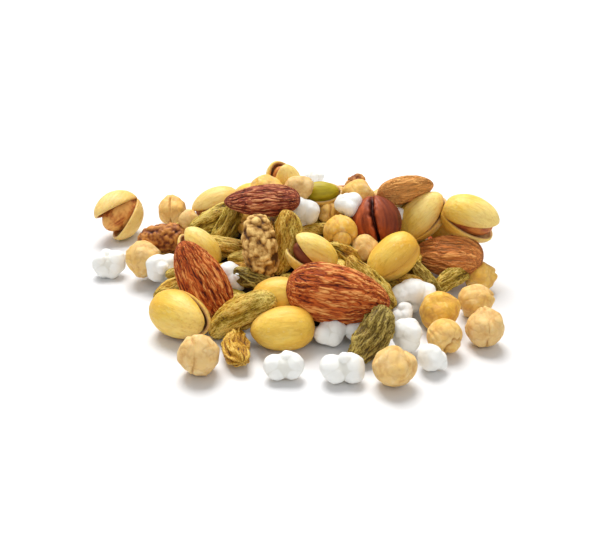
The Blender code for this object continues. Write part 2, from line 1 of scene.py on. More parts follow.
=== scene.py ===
# %% [markdown]
# # A loose heap of trail mix
#
# The real thing is a handful of nuts, roasted chickpeas and dried fruit, tipped out on a white table.
# Nothing in it is large, so everything rests on many small surfaces: wrinkled almond skin, smooth
# pistachio shells, sugar crusts, shrivelled raisins. The solids that this scene dresses already say
# where each piece lies. Here each one gets its true skin.
#
# The solids are loaded first. Their box is the room that the dressed heap has.

# %% The solids
import math
from collections import namedtuple

import bpy
import numpy as np
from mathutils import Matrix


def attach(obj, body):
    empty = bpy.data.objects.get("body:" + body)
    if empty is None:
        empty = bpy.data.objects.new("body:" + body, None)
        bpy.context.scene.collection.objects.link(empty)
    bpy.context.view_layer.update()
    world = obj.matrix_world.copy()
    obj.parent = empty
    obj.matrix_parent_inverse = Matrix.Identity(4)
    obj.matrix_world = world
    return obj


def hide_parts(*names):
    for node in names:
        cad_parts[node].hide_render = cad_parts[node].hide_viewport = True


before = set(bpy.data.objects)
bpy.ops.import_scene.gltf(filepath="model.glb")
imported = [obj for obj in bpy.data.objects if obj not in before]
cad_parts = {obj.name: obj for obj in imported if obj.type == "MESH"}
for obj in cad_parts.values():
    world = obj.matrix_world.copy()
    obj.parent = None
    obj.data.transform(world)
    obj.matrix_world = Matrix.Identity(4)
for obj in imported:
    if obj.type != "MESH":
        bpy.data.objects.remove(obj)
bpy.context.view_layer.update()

MM = 0.001

# %% [markdown]
# ## Sizes
#
# A kitchen ruler is enough for these: nuts of one kind differ by a tenth, not by a half. Each kind has
# one full size, and a piece says how large a share of it it has. A shell's hinge lies a share of the
# length behind its middle.

# %% Sizes of the kinds
ALMOND = (24.0 * MM, 13.6 * MM, 8.6 * MM)
PISTACHIO = (17.6 * MM, 11.8 * MM, 11.4 * MM)
CHICKPEA = 10.4 * MM
SUGARED = 11.6 * MM
RAISIN = (18.5 * MM, 7.2 * MM, 5.4 * MM)
RAISIN_BEND = 0.8 * MM
MULBERRY = (18.0 * MM, 9.6 * MM, 9.0 * MM)
HAZELNUT = 14.0 * MM
SHELL_WALL = 0.9 * MM
SHELL_HINGE = 0.42
print("an almond is", [round(d / MM, 1) for d in ALMOND], "mm")

# %% [markdown]
# ## Where each piece lies
#
# A heap could be dropped with a physics engine, but then no piece would lie where the picture has it.
# So each piece is listed: the pixel of its middle, how its long axis turns and leans and how it
# is rolled, in degrees, and its share of full size. The solids were made from the same tables, but two
# chickpeas with a beak are turned a little further here.

# %% The table of places
# A lean of LEVEL lays the long axis level on the table, and a roll of FLAT turns the broad face up.
# node is the solid of a piece that lies apart, gape is in degrees, and lobes names a group of balls.
LEVEL = FLAT = None
FIELDS = "kind x y turn lean roll size node plan gape lobes"
Place = namedtuple("Place", FIELDS, defaults=(0, 0, 0, 1.0, "", False, 16, "cluster"))

# From the back of the heap to the front, as each one hides part of those before it
SEEN = (
    Place("sugared", 314, 177, 170, 0, 0, 0.75, "sugared_chickpea_behind", lobes="row"),
    Place("pistachio", 281, 183, 108, 40, 32, 0.84, gape=16),
    Place("chickpea", 265, 189, 8, 0, 180, 0.89),
    Place("chickpea", 172, 211, 92, 0, 0, 0.94, "chickpea_behind"),
    Place("chickpea", 296, 191, 30, 0, 150, 0.78),
    Place("half", 323, 190, 3, 0, -38, 0.74),
    Place("mulberry", 355, 189, 60, 10, 0, 0.6),
    Place("chickpea", 362, 195, 170, 0, 160, 0.91),
    Place("chickpea", 381, 198, 80, 0, 30, 0.5),
    Place("almond", 409, 188, 10, -15, 62, 0.73),
    Place("raisin", 407, 206, 50, 0, 0, 0.4),
    Place("chickpea", 395, 204, 20, 0, 120, 0.52),
    Place("sugared", 399, 214, 30, 0, 0, 0.54),
    Place("sugared", 354, 204, 20, 0, 0, 0.8),
    Place("chickpea", 333, 214, 88, 0, 0, 0.72),
    Place("pistachio", 472, 217, -27, 14, -44, 0.96, gape=20),
    Place("closed", 453, 226, -20, 0, 200, 0.86),
    Place("pistachio", 215, 205, 204, 8, 72, 0.86, gape=16),
    Place("pistachio", 120, 214, 238, 46, 66, 0.96, "pistachio_apart", gape=34),
    Place("chickpea", 186, 220, 0, 0, 180, 0.62),
    Place("mulberry", 162, 237, 6, 0, 0, 0.9),
    Place("raisin", 224, 223, 62, 0, 30, 0.85),
    Place("raisin", 210, 217, 27, 0, 0, 0.84),
    Place("chickpea", 241, 222, 285, 20, 10, 0.76),
    Place("sugared", 300, 214, 200, 0, 0, 1.08),
    Place("hazelnut", 375, 221, 98, 0, -8, 1.06),
    Place("almond", 260, 199, 182, 0, 62, 0.88),
    Place("pistachio", 425, 215, 44, 8, -46, 0.97, gape=8),
    Place("chickpea", 343, 235, 278, 34, 0, 0.98),
    Place("pistachio", 198, 250, 132, 0, 50, 0.78),
    Place("raisin", 226, 249, 172, -8, 20, 0.74),
    Place("raisin", 249, 280, 165, 0, 0, 0.62),
    Place("pistachio", 311, 258, 150, 14, 60, 0.8, gape=22),
    Place("chickpea", 368, 252, 140, 0, 60, 0.77),
    Place("raisin", 345, 259, -35, 0, 0, 0.65),
    Place("mulberry", 261, 250, 98, 0, 0, 1.0),
    Place("raisin", 285, 249, 80, 6, 0, 0.98),
    Place("almond", 450, 256, 174, -32, 12, 0.88),
    Place("closed", 394, 259, 222, 0, 58, 0.95),
    Place("raisin", 426, 278, -50, 0, 70, 0.78),
    Place("raisin", 370, 286, -48, 0, 0, 1.0),
    Place("chickpea", 482, 277, 10, 0, 170, 0.83),
    Place("raisin", 452, 284, 32, 0, 0, 0.64),
    Place("sugared", 416, 296, 0, 0, 0, 1.15, lobes="row"),
    Place("sugared", 403, 315, 40, 0, 0, 0.62),
    Place("sugared", 109, 264, 12, 0, 0, 0.96, "sugared_chickpea_left", lobes="pair"),
    Place("chickpea", 141, 256, 268, 0, 180, 1.0),
    Place("sugared", 160, 267, 220, 0, 0, 0.97),
    Place("raisin", 168, 291, 30, 0, 0, 0.6),
    Place("sugared", 234, 281, 125, 0, 0, 0.85, lobes="row"),
    Place("closed", 280, 301, 10, 0, 190, 0.82),
    Place("sugared", 333, 338, 20, 0, 30, 0.82),
    Place("almond", 200, 282, 118, 0, -12, 0.95),
    Place("raisin", 241, 318, 30, 12, 0, 1.09),
    Place("raisin", 235, 350, -70, LEVEL, 0, 0.86),
    Place("raisin", 372, 342, 55, -20, 0, 0.92),
    Place("almond", 337, 298, -10, 5, 8, 1.1),
    Place("chickpea", 475, 301, 20, 0, 140, 0.89, "chickpea_right_far"),
    Place("chickpea", 441, 314, 20, 0, 100, 0.99),
    Place("sugared", 409, 335, 110, 0, 0, 0.88, "sugared_chickpea_right_near"),
    Place("pistachio", 178, 320, -22, 24, 8, 0.98, gape=9),
    Place("closed", 283, 334, 184, 4, 175, 0.93),
    Place("chickpea", 485, 328, 92, 0, 0, 0.93, "chickpea_right"),
    Place("chickpea", 443, 338, 318, 16, 30, 0.9, "chickpea_right_curled"),
    Place("sugared", 432, 357, -10, 0, 0, 0.74, "sugared_chickpea_right", lobes="round"),
    Place("chickpea", 199, 355, 175, 0, 10, 0.99, "chickpea_front_left"),
    Place("sugared", 285, 367, 0, 0, 0, 0.88, "sugared_chickpea_front", lobes="pair"),
    Place("sugared", 344, 368, 4, 0, 0, 0.97, "sugared_chickpea_front_right", lobes="pair"),
    Place("chickpea", 393, 367, 10, 0, 200, 0.96, "chickpea_front_right"),
)

# What the photograph doesn't show: the back of the heap. Each row is a kind, x and y in millimetres on
# the table, turn, roll and size.
BACK = (
    ("almond", 13, 37, 22, FLAT, 0.88),
    ("closed", -15, 40, 150, 30, 0.88),
    ("chickpea", 0, 41, 40, 20, 1.0),
    ("sugared", 28, 38, 70, 0, 1.0),
    ("raisin", 20, 46, 160, 0, 1.0),
    ("chickpea", 36, 27, 200, 0, 0.95),
    ("raisin", -26, 27, 60, 0, 1.0),
    ("almond", -27, 36, 118, FLAT, 0.85),
    ("closed", 41, 36, 65, 180, 0.9),
    ("chickpea", 12, 18, 0, 90, 0.95),
    ("raisin", -3, 22, 20, 0, 0.95),
    ("sugared", 9, 49, 30, 0, 0.85),
    ("chickpea", -4, 50, 300, 0, 0.9),
    ("raisin", -18, 17, 100, 0, 0.9),
    ("mulberry", -5, 31, 85, 0, 0.9),
    ("chickpea", 26, 21, 0, 0, 0.9),
    ("almond", 45, 14, 100, FLAT, 0.9),
    ("raisin", -33, 14, 30, 0, 1.0),
    ("sugared", -21, 32, 50, 0, 0.9),
    ("closed", 31, 48, 12, 20, 0.88),
    ("raisin", -12, 26, 140, 0, 0.9),
    ("chickpea", 18, 25, 70, 0, 0.85),
    ("raisin", 48, 25, 82, 0, 0.95),
    ("sugared", 14, -35, 40, 0, 0.72),
    ("chickpea", -31, 45, 0, 0, 0.9),
)
UNSEEN = tuple(Place(kind, x, y, turn, 0, roll, size, plan=True) for kind, x, y, turn, roll, size in BACK)
PLACES = UNSEEN + SEEN
print(len(SEEN), "pieces that show and", len(UNSEEN), "at the back")

# %% [markdown]
# ## From a pixel to a place on the heap
#
# The camera is known: it looks down 27 degrees from 20 cm in front and 11 cm up. A pixel is then a
# straight line of sight, and a piece lies somewhere along it. It starts where the line meets a low
# dome, and then all pieces settle together: in small steps each one sinks, is pushed off what it
# overlaps, and is held near its own line. Each is a handful of balls meanwhile, which makes the pushing
# quick to work out.

# %% The camera's numbers and the two domes
CORE_RADIUS = 43 * MM
CORE_HEIGHT = 15 * MM
HEAP_RADIUS = 58 * MM
HEAP_HEIGHT = 24 * MM
STAND = np.array((0.0, 6 * MM, 0.0))
# In each step a piece sinks, is drawn inwards, takes a share of every push, and goes back by a share to
# its own line. Pieces may bite into each other, but one that lies apart keeps clear.
STEPS = 800
SINK = 0.06 * MM
DRAW = 0.12 * MM
EAGER = 0.6
HOLD = 0.12
BITE = 1.1 * MM
CLEAR = 0.8 * MM
NEIGHBOUR = 9 * MM
EYE = np.array((0.0, -0.205, 0.1064))
LOOK_DOWN = math.radians(27)
FOCAL_PIXELS = 800.0
PICTURE = (600, 547)
DROP_FROM = 0.2


class View:
    """Which way the picture's right, its up and the eye lie."""

    def __init__(self, right, up, toward):
        self.right, self.up, self.toward = (np.array(v, float) for v in (right, up, toward))

    def frame(self, turn, lean, roll):
        """The long axis, the width and the broad face's outward way of a piece, as columns."""
        turn = math.radians(turn)
        if lean is LEVEL:
            lean = -math.atan2(math.sin(turn) * self.up[2], self.toward[2])
        else:
            lean = math.radians(lean)
        in_picture = math.cos(turn) * self.right + math.sin(turn) * self.up
        axis = math.cos(lean) * in_picture + math.sin(lean) * self.toward
        faced = np.array((0.0, 0.0, 1.0)) if roll is FLAT else self.toward
        face = faced - (faced @ axis) * axis
        face /= np.linalg.norm(face)
        spin = math.radians(roll or 0)
        face = math.cos(spin) * face + math.sin(spin) * np.cross(axis, face)
        return np.column_stack((axis, np.cross(face, axis), face))


PHOTOGRAPH = View(
    (1, 0, 0),
    (0, math.sin(LOOK_DOWN), math.cos(LOOK_DOWN)),
    (0, -math.cos(LOOK_DOWN), math.sin(LOOK_DOWN)),
)
PLAN = View((1, 0, 0), (0, 1, 0), (0, 0, 1))


def dome(radius, height):
    """The radius of the ball that a dome is cut from, and the middle of that ball."""
    ball = (radius**2 + height**2) / (2 * height)
    return ball, STAND + np.array((0, 0, height - ball))


HEAP_BALL, HEAP_MIDDLE = dome(HEAP_RADIUS, HEAP_HEIGHT)
CORE_BALL, CORE_MIDDLE = dome(CORE_RADIUS, CORE_HEIGHT)


def sight_line(x, y):
    """The unit direction from the eye through a pixel of the picture."""
    across = (x - PICTURE[0] / 2) / FOCAL_PIXELS
    upward = (PICTURE[1] / 2 - y) / FOCAL_PIXELS
    way = across * PHOTOGRAPH.right + upward * PHOTOGRAPH.up - PHOTOGRAPH.toward
    return way / np.linalg.norm(way)


print("the middle of the picture meets the heap along", sight_line(300, 273.5).round(3))

# %% The balls that stand for a piece while it is being laid
# The lobes of a sugared chickpea, as shares of its radius: where each lies, and its own radius
LOBES = {
    "cluster": (
        (0.42, 0.05, 0, 0.57),
        (-0.42, 0.12, 0.08, 0.56),
        (0.06, -0.26, 0.26, 0.55),
        (0, 0.18, -0.28, 0.55),
    ),
    "pair": (
        (-0.47, 0.1, 0, 0.55),
        (0.47, 0.12, 0, 0.56),
        (-0.36, -0.24, 0.1, 0.46),
        (0.38, -0.22, 0.05, 0.48),
        (0, 0.08, -0.1, 0.52),
    ),
    "row": (
        (-0.58, -0.1, 0, 0.44),
        (-0.08, 0.08, 0.05, 0.58),
        (0.46, 0.02, 0.05, 0.52),
        (0.2, -0.24, -0.05, 0.46),
    ),
    "round": ((-0.12, 0, 0, 0.8), (0.62, -0.28, 0.05, 0.36), (-0.35, 0.32, 0.25, 0.5)),
}


def row_of_balls(length, across, radius, ends, count):
    """Balls along the long axis, thinner towards the two ends: x, y, z and radius of each."""
    x = np.linspace(-1, 1, count)
    r = radius * (1 - (1 - ends) * x**2)
    return np.column_stack((x * (length / 2 - radius * ends), np.full(count, across), 0 * x, r))


# The length, width and thickness of the kinds that are not round
THREE_SIZES = {
    "almond": ALMOND,
    "pistachio": PISTACHIO,
    "half": PISTACHIO,
    "closed": PISTACHIO,
    "raisin": RAISIN,
    "mulberry": MULBERRY,
}
# How thick the last ball of a row is, as a share of the middle one
NUT_END = 0.62
CHEEK_END = 0.8
FRUIT_END = 0.7


def balls_of(place):
    """The balls of a piece: x, y, z and radius of each, in its own frame. An almond has a row along its
    middle and one in either cheek, and a gaping pistachio has a row in each half."""
    kind, size = place.kind, place.size
    if kind == "sugared":
        return size * SUGARED / 2 * np.array(LOBES[place.lobes])
    if kind not in THREE_SIZES:
        return np.array([(0, 0, 0, size * (CHICKPEA if kind == "chickpea" else HAZELNUT) / 2)])
    length, width, thick = (size * d for d in THREE_SIZES[kind])
    if kind == "almond":
        middle = row_of_balls(length, 0, thick * 0.47, NUT_END, 5)
        aside = width * 0.22
        cheeks = [row_of_balls(length * 0.72, off, thick * 0.4, CHEEK_END, 3) for off in (aside, -aside)]
        return np.vstack((middle, *cheeks))
    if kind in ("raisin", "mulberry"):
        return row_of_balls(length, 0, (width + thick) / 4, FRUIT_END, 5)
    half = row_of_balls(length, 0, (width + thick) / 4, NUT_END, 5)
    if kind != "pistachio":
        return half
    swung = (half[:, 0] + SHELL_HINGE * length) * math.sin(math.radians(place.gape / 2))
    return np.vstack([half + np.outer(side * swung, (0, 0, 1, 0)) for side in (1, -1)])


def reach_down(place, axes):
    """How far a piece reaches below its middle, as the ellipsoid of its three sizes."""
    half_sizes = place.size * np.array(THREE_SIZES.get(place.kind, (0, 0, 0))) / 2
    bend = RAISIN_BEND if place.kind == "raisin" else 0
    return float(np.linalg.norm(half_sizes * axes[2])) + bend


def start_of(place, balls):
    """Where a piece starts, and the way it slides: where its line of sight meets the heap, or the table."""
    if place.plan:
        origin, way = np.array((place.x * MM, place.y * MM, DROP_FROM)), np.array((0.0, 0.0, -1.0))
    else:
        origin, way = EYE, sight_line(place.x, place.y)
    centre = balls[:, :3] + origin
    to_table = ((centre[:, 2] - balls[:, 3]) / -way[2]).min()
    if place.lean is LEVEL or place.node:
        return origin, way, to_table
    from_heap = origin - HEAP_MIDDLE
    along = from_heap @ way
    to_heap = -along - math.sqrt(max(along**2 - from_heap @ from_heap + HEAP_BALL**2, 0))
    return origin, way, min(to_table, to_heap)


print("a gaping pistachio is laid as", len(balls_of(Place("pistachio", 0, 0))), "balls")

# %% Settling the heap
def settled():
    """Each piece's place, its axes and its middle, once all have sunk and pushed each other aside."""
    axes = [(PLAN if p.plan else PHOTOGRAPH).frame(p.turn, p.lean, p.roll) for p in PLACES]
    balls = [balls_of(p) for p in PLACES]
    balls = [np.column_stack((b[:, :3] @ a.T, b[:, 3])) for a, b in zip(axes, balls)]
    starts = [start_of(p, b) for p, b in zip(PLACES, balls)]
    origin, way = (np.array(part) for part in list(zip(*starts))[:2])
    middle = origin + way * np.array([[s[2]] for s in starts])
    owner = np.repeat(np.arange(len(PLACES)), [len(b) for b in balls])
    balls = np.vstack(balls)
    first, second = np.nonzero(owner[:, None] < owner[None, :])
    at = middle[owner] + balls[:, :3]
    near = np.linalg.norm(at[first] - at[second], axis=1)
    close = near < balls[first, 3] + balls[second, 3] + NEIGHBOUR
    first, second = first[close], second[close]
    clear = np.array([p.node != "" for p in PLACES])
    bite = np.where(clear[owner[first]] | clear[owner[second]], -CLEAR, BITE)
    reach = balls[first, 3] + balls[second, 3] - bite
    down = np.array([reach_down(p, a) for p, a in zip(PLACES, axes)])
    for step in range(STEPS):
        inward = (STAND - middle) * (1, 1, 0)
        middle += (DRAW * ~clear / np.linalg.norm(inward, axis=1))[:, None] * inward
        middle[:, 2] -= SINK
        at = middle[owner] + balls[:, :3]
        gap = at[first] - at[second]
        far = np.linalg.norm(gap, axis=1)
        deep = np.maximum(reach - far, 0)
        push = gap * (deep / far)[:, None] / 2
        from_core = at - CORE_MIDDLE
        away = np.linalg.norm(from_core, axis=1)
        into_core = np.maximum(CORE_BALL + balls[:, 3] - BITE - away, 0)
        outward = from_core * (into_core / away)[:, None]
        move = np.zeros_like(middle)
        touching = np.ones(len(middle))
        np.add.at(move, owner[first], push)
        np.add.at(move, owner[second], -push)
        np.add.at(move, owner, outward)
        np.add.at(touching, owner[first], deep > 0)
        np.add.at(touching, owner[second], deep > 0)
        np.add.at(touching, owner, into_core > 0)
        middle += EAGER * move / np.sqrt(touching)[:, None]
        off = middle - origin
        aside = off - (off * way).sum(axis=1)[:, None] * way
        middle -= HOLD * aside
        lowest = middle[:, 2] - down
        np.minimum.at(lowest, owner, (middle[owner] + balls[:, :3])[:, 2] - balls[:, 3])
        middle[:, 2] += np.maximum(-lowest, 0)
    return list(zip(PLACES, axes, middle))


LAID = settled()
print("the highest middle is", round(max(m[2] for _, _, m in LAID) / MM, 1), "mm up")

# %% [markdown]
# ## Filling the gaps
#
# The tables name the pieces that the picture shows and some behind them. In a real heap there are more
# below and between, and from above one would see them. They could be laid by the same settling, but
# they only have to fill what is bare. So spots on a spiral over the solids' core are tried in turn, and
# each takes the first kind and turn that fits between what is there already, with its middle a little
# above the core. Last, one white piece is brought nearer, because the picture shows it in front of an
# almond's end.

# %% Pieces tucked in between
FILLERS = (
    ("chickpea", 0.85),
    ("sugared", 0.8),
    ("raisin", 0.9),
    ("chickpea", 0.7),
    ("raisin", 0.7),
    ("chickpea", 0.52),
)
SPOTS = 700
SPREAD = 1.02 * CORE_RADIUS
GOLDEN_TURN = math.pi * (3 - math.sqrt(5))
TURNS = 4
TURN_STEP = 45
RAISED = 0.2
TUCK = 1.3 * MM
# In front only raisins are tucked in, and not so far out, because the picture shows dark gaps there
FRONT = 8 * MM
FRONT_REACH = 0.8 * CORE_RADIUS


def in_place(place, axes, middle):
    """A laid piece's balls, where they are."""
    balls = balls_of(place)
    return np.column_stack((balls[:, :3] @ axes.T + middle, balls[:, 3]))


def tucked(laid):
    """More laid pieces, one wherever the core is bare. A ball may bite the tuck deep into another."""
    there = np.vstack([in_place(*each) for each in laid])
    added = []
    for spot in range(SPOTS):
        reach = SPREAD * math.sqrt((spot + 0.5) / SPOTS)
        turn = spot * GOLDEN_TURN
        x, y = reach * math.cos(turn), STAND[1] + reach * math.sin(turn)
        fitting = [f for f in FILLERS if y > FRONT or (f[0] == "raisin" and reach < FRONT_REACH)]
        first = spot if spot % 3 else 0
        for number in range(len(fitting) * TURNS):
            kind, size = fitting[(number // TURNS + first) % len(fitting)]
            place = Place(kind, x / MM, y / MM, TURN_STEP * (number + spot), 0, 0, size, plan=True)
            axes = PLAN.frame(place.turn, 0, 0)
            low = float(max(balls_of(place)[:, 3].max(), reach_down(place, axes)))
            top = math.sqrt(CORE_BALL**2 - reach**2) + CORE_MIDDLE[2]
            middle = np.array((x, y, max(top + RAISED * low, low)))
            balls = in_place(place, axes, middle)
            apart = np.linalg.norm(balls[:, None, :3] - there[None, :, :3], axis=2) - there[:, 3]
            if (apart - balls[:, 3:]).min() > -TUCK:
                added.append((place, axes, middle))
                there = np.vstack((there, balls))
                break
    return added


LAID += tucked(LAID)
print(len(LAID) - len(PLACES), "pieces tucked in")

# %% Pieces brought forward
# By pixel, how much nearer to the eye a piece lies than where it settled
FORWARD = {(300, 214): 4.5 * MM}


def forward(place, axes, middle):
    """The laid piece, moved towards the eye along its own line of sight."""
    near = FORWARD.get((place.x, place.y), 0)
    return place, axes, middle + near * (EYE - middle) / np.linalg.norm(EYE - middle)


LAID = [forward(*laid) for laid in LAID]
print(len(FORWARD), "piece brought forward")

# %% [markdown]
# ## Skin from a grid
#
# Every piece here is closed and roughly round, so each one can be a ball whose points are moved. A
# sculpted mesh would do for one nut, but not for nearly two hundred pieces that must all differ. A
# formula makes them all: it takes the polar angle t from the head and the turn a round the long axis,
# as whole arrays.

# %% A ball's grid, and a smooth random field
def ball_grid(polar, columns, crowd=0.0):
    """A closed grid. polar holds the angle t of each row, from one pole to the other, poles left out.

    Returns t and a of every point, the quads and the triangles at the poles. crowd above 0 draws the
    columns together at a quarter turn, where a crack or a cleft runs.
    """
    rows = len(polar)
    a = np.linspace(0, 2 * math.pi, columns, endpoint=False)
    a = a + crowd * np.cos(a)
    turns = np.concatenate(([0.0], np.tile(a, rows), [0.0]))
    t = np.concatenate(([0.0], np.repeat(polar, columns), [math.pi]))
    index = 1 + np.arange(rows * columns).reshape(rows, columns)
    beside = np.roll(index, -1, axis=1)
    quads = np.stack((index[:-1], index[1:], beside[1:], beside[:-1]), axis=-1).reshape(-1, 4)
    first = np.stack((np.zeros_like(index[0]), index[0], beside[0]), axis=-1)
    last = np.stack((index[-1], np.full_like(index[0], rows * columns + 1), beside[-1]), axis=-1)
    return t, turns, quads, np.vstack((first, last))


def even(rows):
    """Polar angles of evenly spaced rows, without the poles."""
    return np.linspace(0, math.pi, rows + 2)[1:-1]


NOISE_VALUES = 4096
NOISE_PRIMES = (73856093, 19349663, 83492791)
FOLD_FALL = 2.2


def noise(points, seed):
    """Smooth random values from -1 to 1. Each corner of a unit lattice holds a random number, and a
    point gets the mean of its cell's eight corners, weighted by the smoothstep of its place in it."""
    table = np.random.default_rng(int(seed)).uniform(-1, 1, NOISE_VALUES)
    cell = np.floor(points).astype(np.int64)
    share = points - cell
    share = share * share * (3 - 2 * share)
    total = np.zeros(len(points))
    for corner in np.ndindex(2, 2, 2):
        key = (cell + corner) * NOISE_PRIMES
        value = table[(key[:, 0] ^ key[:, 1] ^ key[:, 2]) % NOISE_VALUES]
        total += value * np.prod(np.where(corner, share, 1 - share), axis=1)
    return total


def folds(points, seed):
    """Sharp crests, 1 where the noise crosses nought and falling off to both sides."""
    return 1 - FOLD_FALL * np.abs(noise(points, seed))


def around(t, a, along, about):
    """Points for noise with a grain that runs along a piece: few cells along it and many about it."""
    return np.column_stack((along * np.cos(t), about * np.cos(a), about * np.sin(a)))


def direction(t, a):
    """The unit direction at polar angle t from the long axis and turn a round it."""
    return np.column_stack((np.cos(t), np.sin(t) * np.cos(a), np.sin(t) * np.sin(a)))


def swell(value, middle, spread):
    """A bell: 1 at the middle, falling off over the spread."""
    return np.exp(-(((value - middle) / spread) ** 2))


def both_sides(value, away, spread):
    """Two bells, one on either side of nought."""
    return swell(value, away, spread) + swell(value, -away, spread)


print("noise at three points:", noise(np.array([(0.5, 0, 0), (1.5, 2, 0), (3.3, 1, 7)]), 1).round(2))

# %% [markdown]
# ## One mesh for each kind
#
# Nearly two hundred objects would be slow to load and to export, and particles would be lost there. So
# all pieces of a kind go into one mesh, at their true place. A material still has to know where on its
# piece a point lies, so three things are kept at each point: its place in the piece's own frame in
# millimetres, a tone that is the piece's own, and the relief, which says how high on a crest it is.


# %% Gathering pieces into a mesh
TABLE_GAP = 0.02 * MM


class Gathered:
    """The grids of all pieces of one kind, on their way to becoming one mesh."""

    def __init__(self, name):
        self.name = name
        self.points, self.quads, self.corners, self.local, self.tone, self.relief = [], [], [], [], [], []
        self.count = 0

    def add(self, xyz, quads, corners, axes, middle, tone, relief):
        """Adds one grid, given in the piece's own frame, where the piece lies. It is flat where it would
        reach below the table."""
        placed = xyz @ axes.T + middle
        self.points.append(np.maximum(placed, (-math.inf, -math.inf, TABLE_GAP)))
        self.quads.append(quads + self.count)
        self.corners.append(corners + self.count)
        self.local.append(xyz / MM)
        self.tone.append(np.full(len(xyz), tone))
        self.relief.append(np.broadcast_to(relief, len(xyz)))
        self.count += len(xyz)

    def finish(self):
        """The object, smooth all over, with its attributes."""
        quads, corners = np.vstack(self.quads), np.vstack(self.corners)
        mesh = bpy.data.meshes.new(self.name)
        mesh.vertices.add(self.count)
        mesh.vertices.foreach_set("co", np.vstack(self.points).ravel())
        mesh.loops.add(quads.size + corners.size)
        mesh.loops.foreach_set("vertex_index", np.concatenate((quads.ravel(), corners.ravel())))
        starts = np.concatenate((np.arange(len(quads)) * 4, quads.size + np.arange(len(corners)) * 3))
        mesh.polygons.add(len(starts))
        mesh.polygons.foreach_set("loop_start", starts)
        mesh.update(calc_edges=True)
        mesh.polygons.foreach_set("use_smooth", np.ones(len(starts), bool))
        for name, kind, field, values in (
            ("local", "FLOAT_VECTOR", "vector", np.vstack(self.local)),
            ("tone", "FLOAT", "value", np.concatenate(self.tone)),
            ("relief", "FLOAT", "value", np.concatenate(self.relief)),
        ):
            mesh.attributes.new(name, kind, "POINT").data.foreach_set(field, values.ravel())
        made = bpy.data.objects.new(self.name, mesh)
        bpy.context.scene.collection.objects.link(made)
        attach(made, "root")
        print(self.name, 2 * len(quads) + len(corners), "triangles")
        return made


print("every piece stays", TABLE_GAP / MM, "mm clear of the table")

# %% [markdown]
# ## Shader sums
#
# A food's colour is mostly arithmetic: so much of the crest's colour, so much of the valley's, a little
# less where it is dusty. Nodes can be wired one by one, but sums read better as sums. A small class
# wraps an output, so that plus and times on it add the Math nodes.


# %% Outputs that can be added, and materials
class Wire:
    """A node's output. Arithmetic on it adds Math nodes."""

    def __init__(self, finish, socket):
        self.finish, self.socket = finish, socket

    def sum(self, operation, *values):
        return self.finish.node("ShaderNodeMath", {"operation": operation}, dict(enumerate(values)))

    def __add__(self, other):
        return self.sum("ADD", self, other)

    def __sub__(self, other):
        return self.sum("SUBTRACT", self, other)

    def __rsub__(self, other):
        return self.sum("SUBTRACT", other, self)

    def __mul__(self, other):
        return self.sum("MULTIPLY", self, other)

    def __abs__(self):
        return self.sum("ABSOLUTE", self)

    __radd__ = __add__
    __rmul__ = __mul__

    def clamped(self):
        """The value, held between 0 and 1."""
        return self.finish.node("ShaderNodeClamp", {}, {"Value": self})


# A piece's tone also shifts its noise by this much along x and y, so that no two look the same
TONE_SHIFT = (91, 57)
GRAIN_ROUGHNESS = 0.6
LINE_SHARPNESS = 5


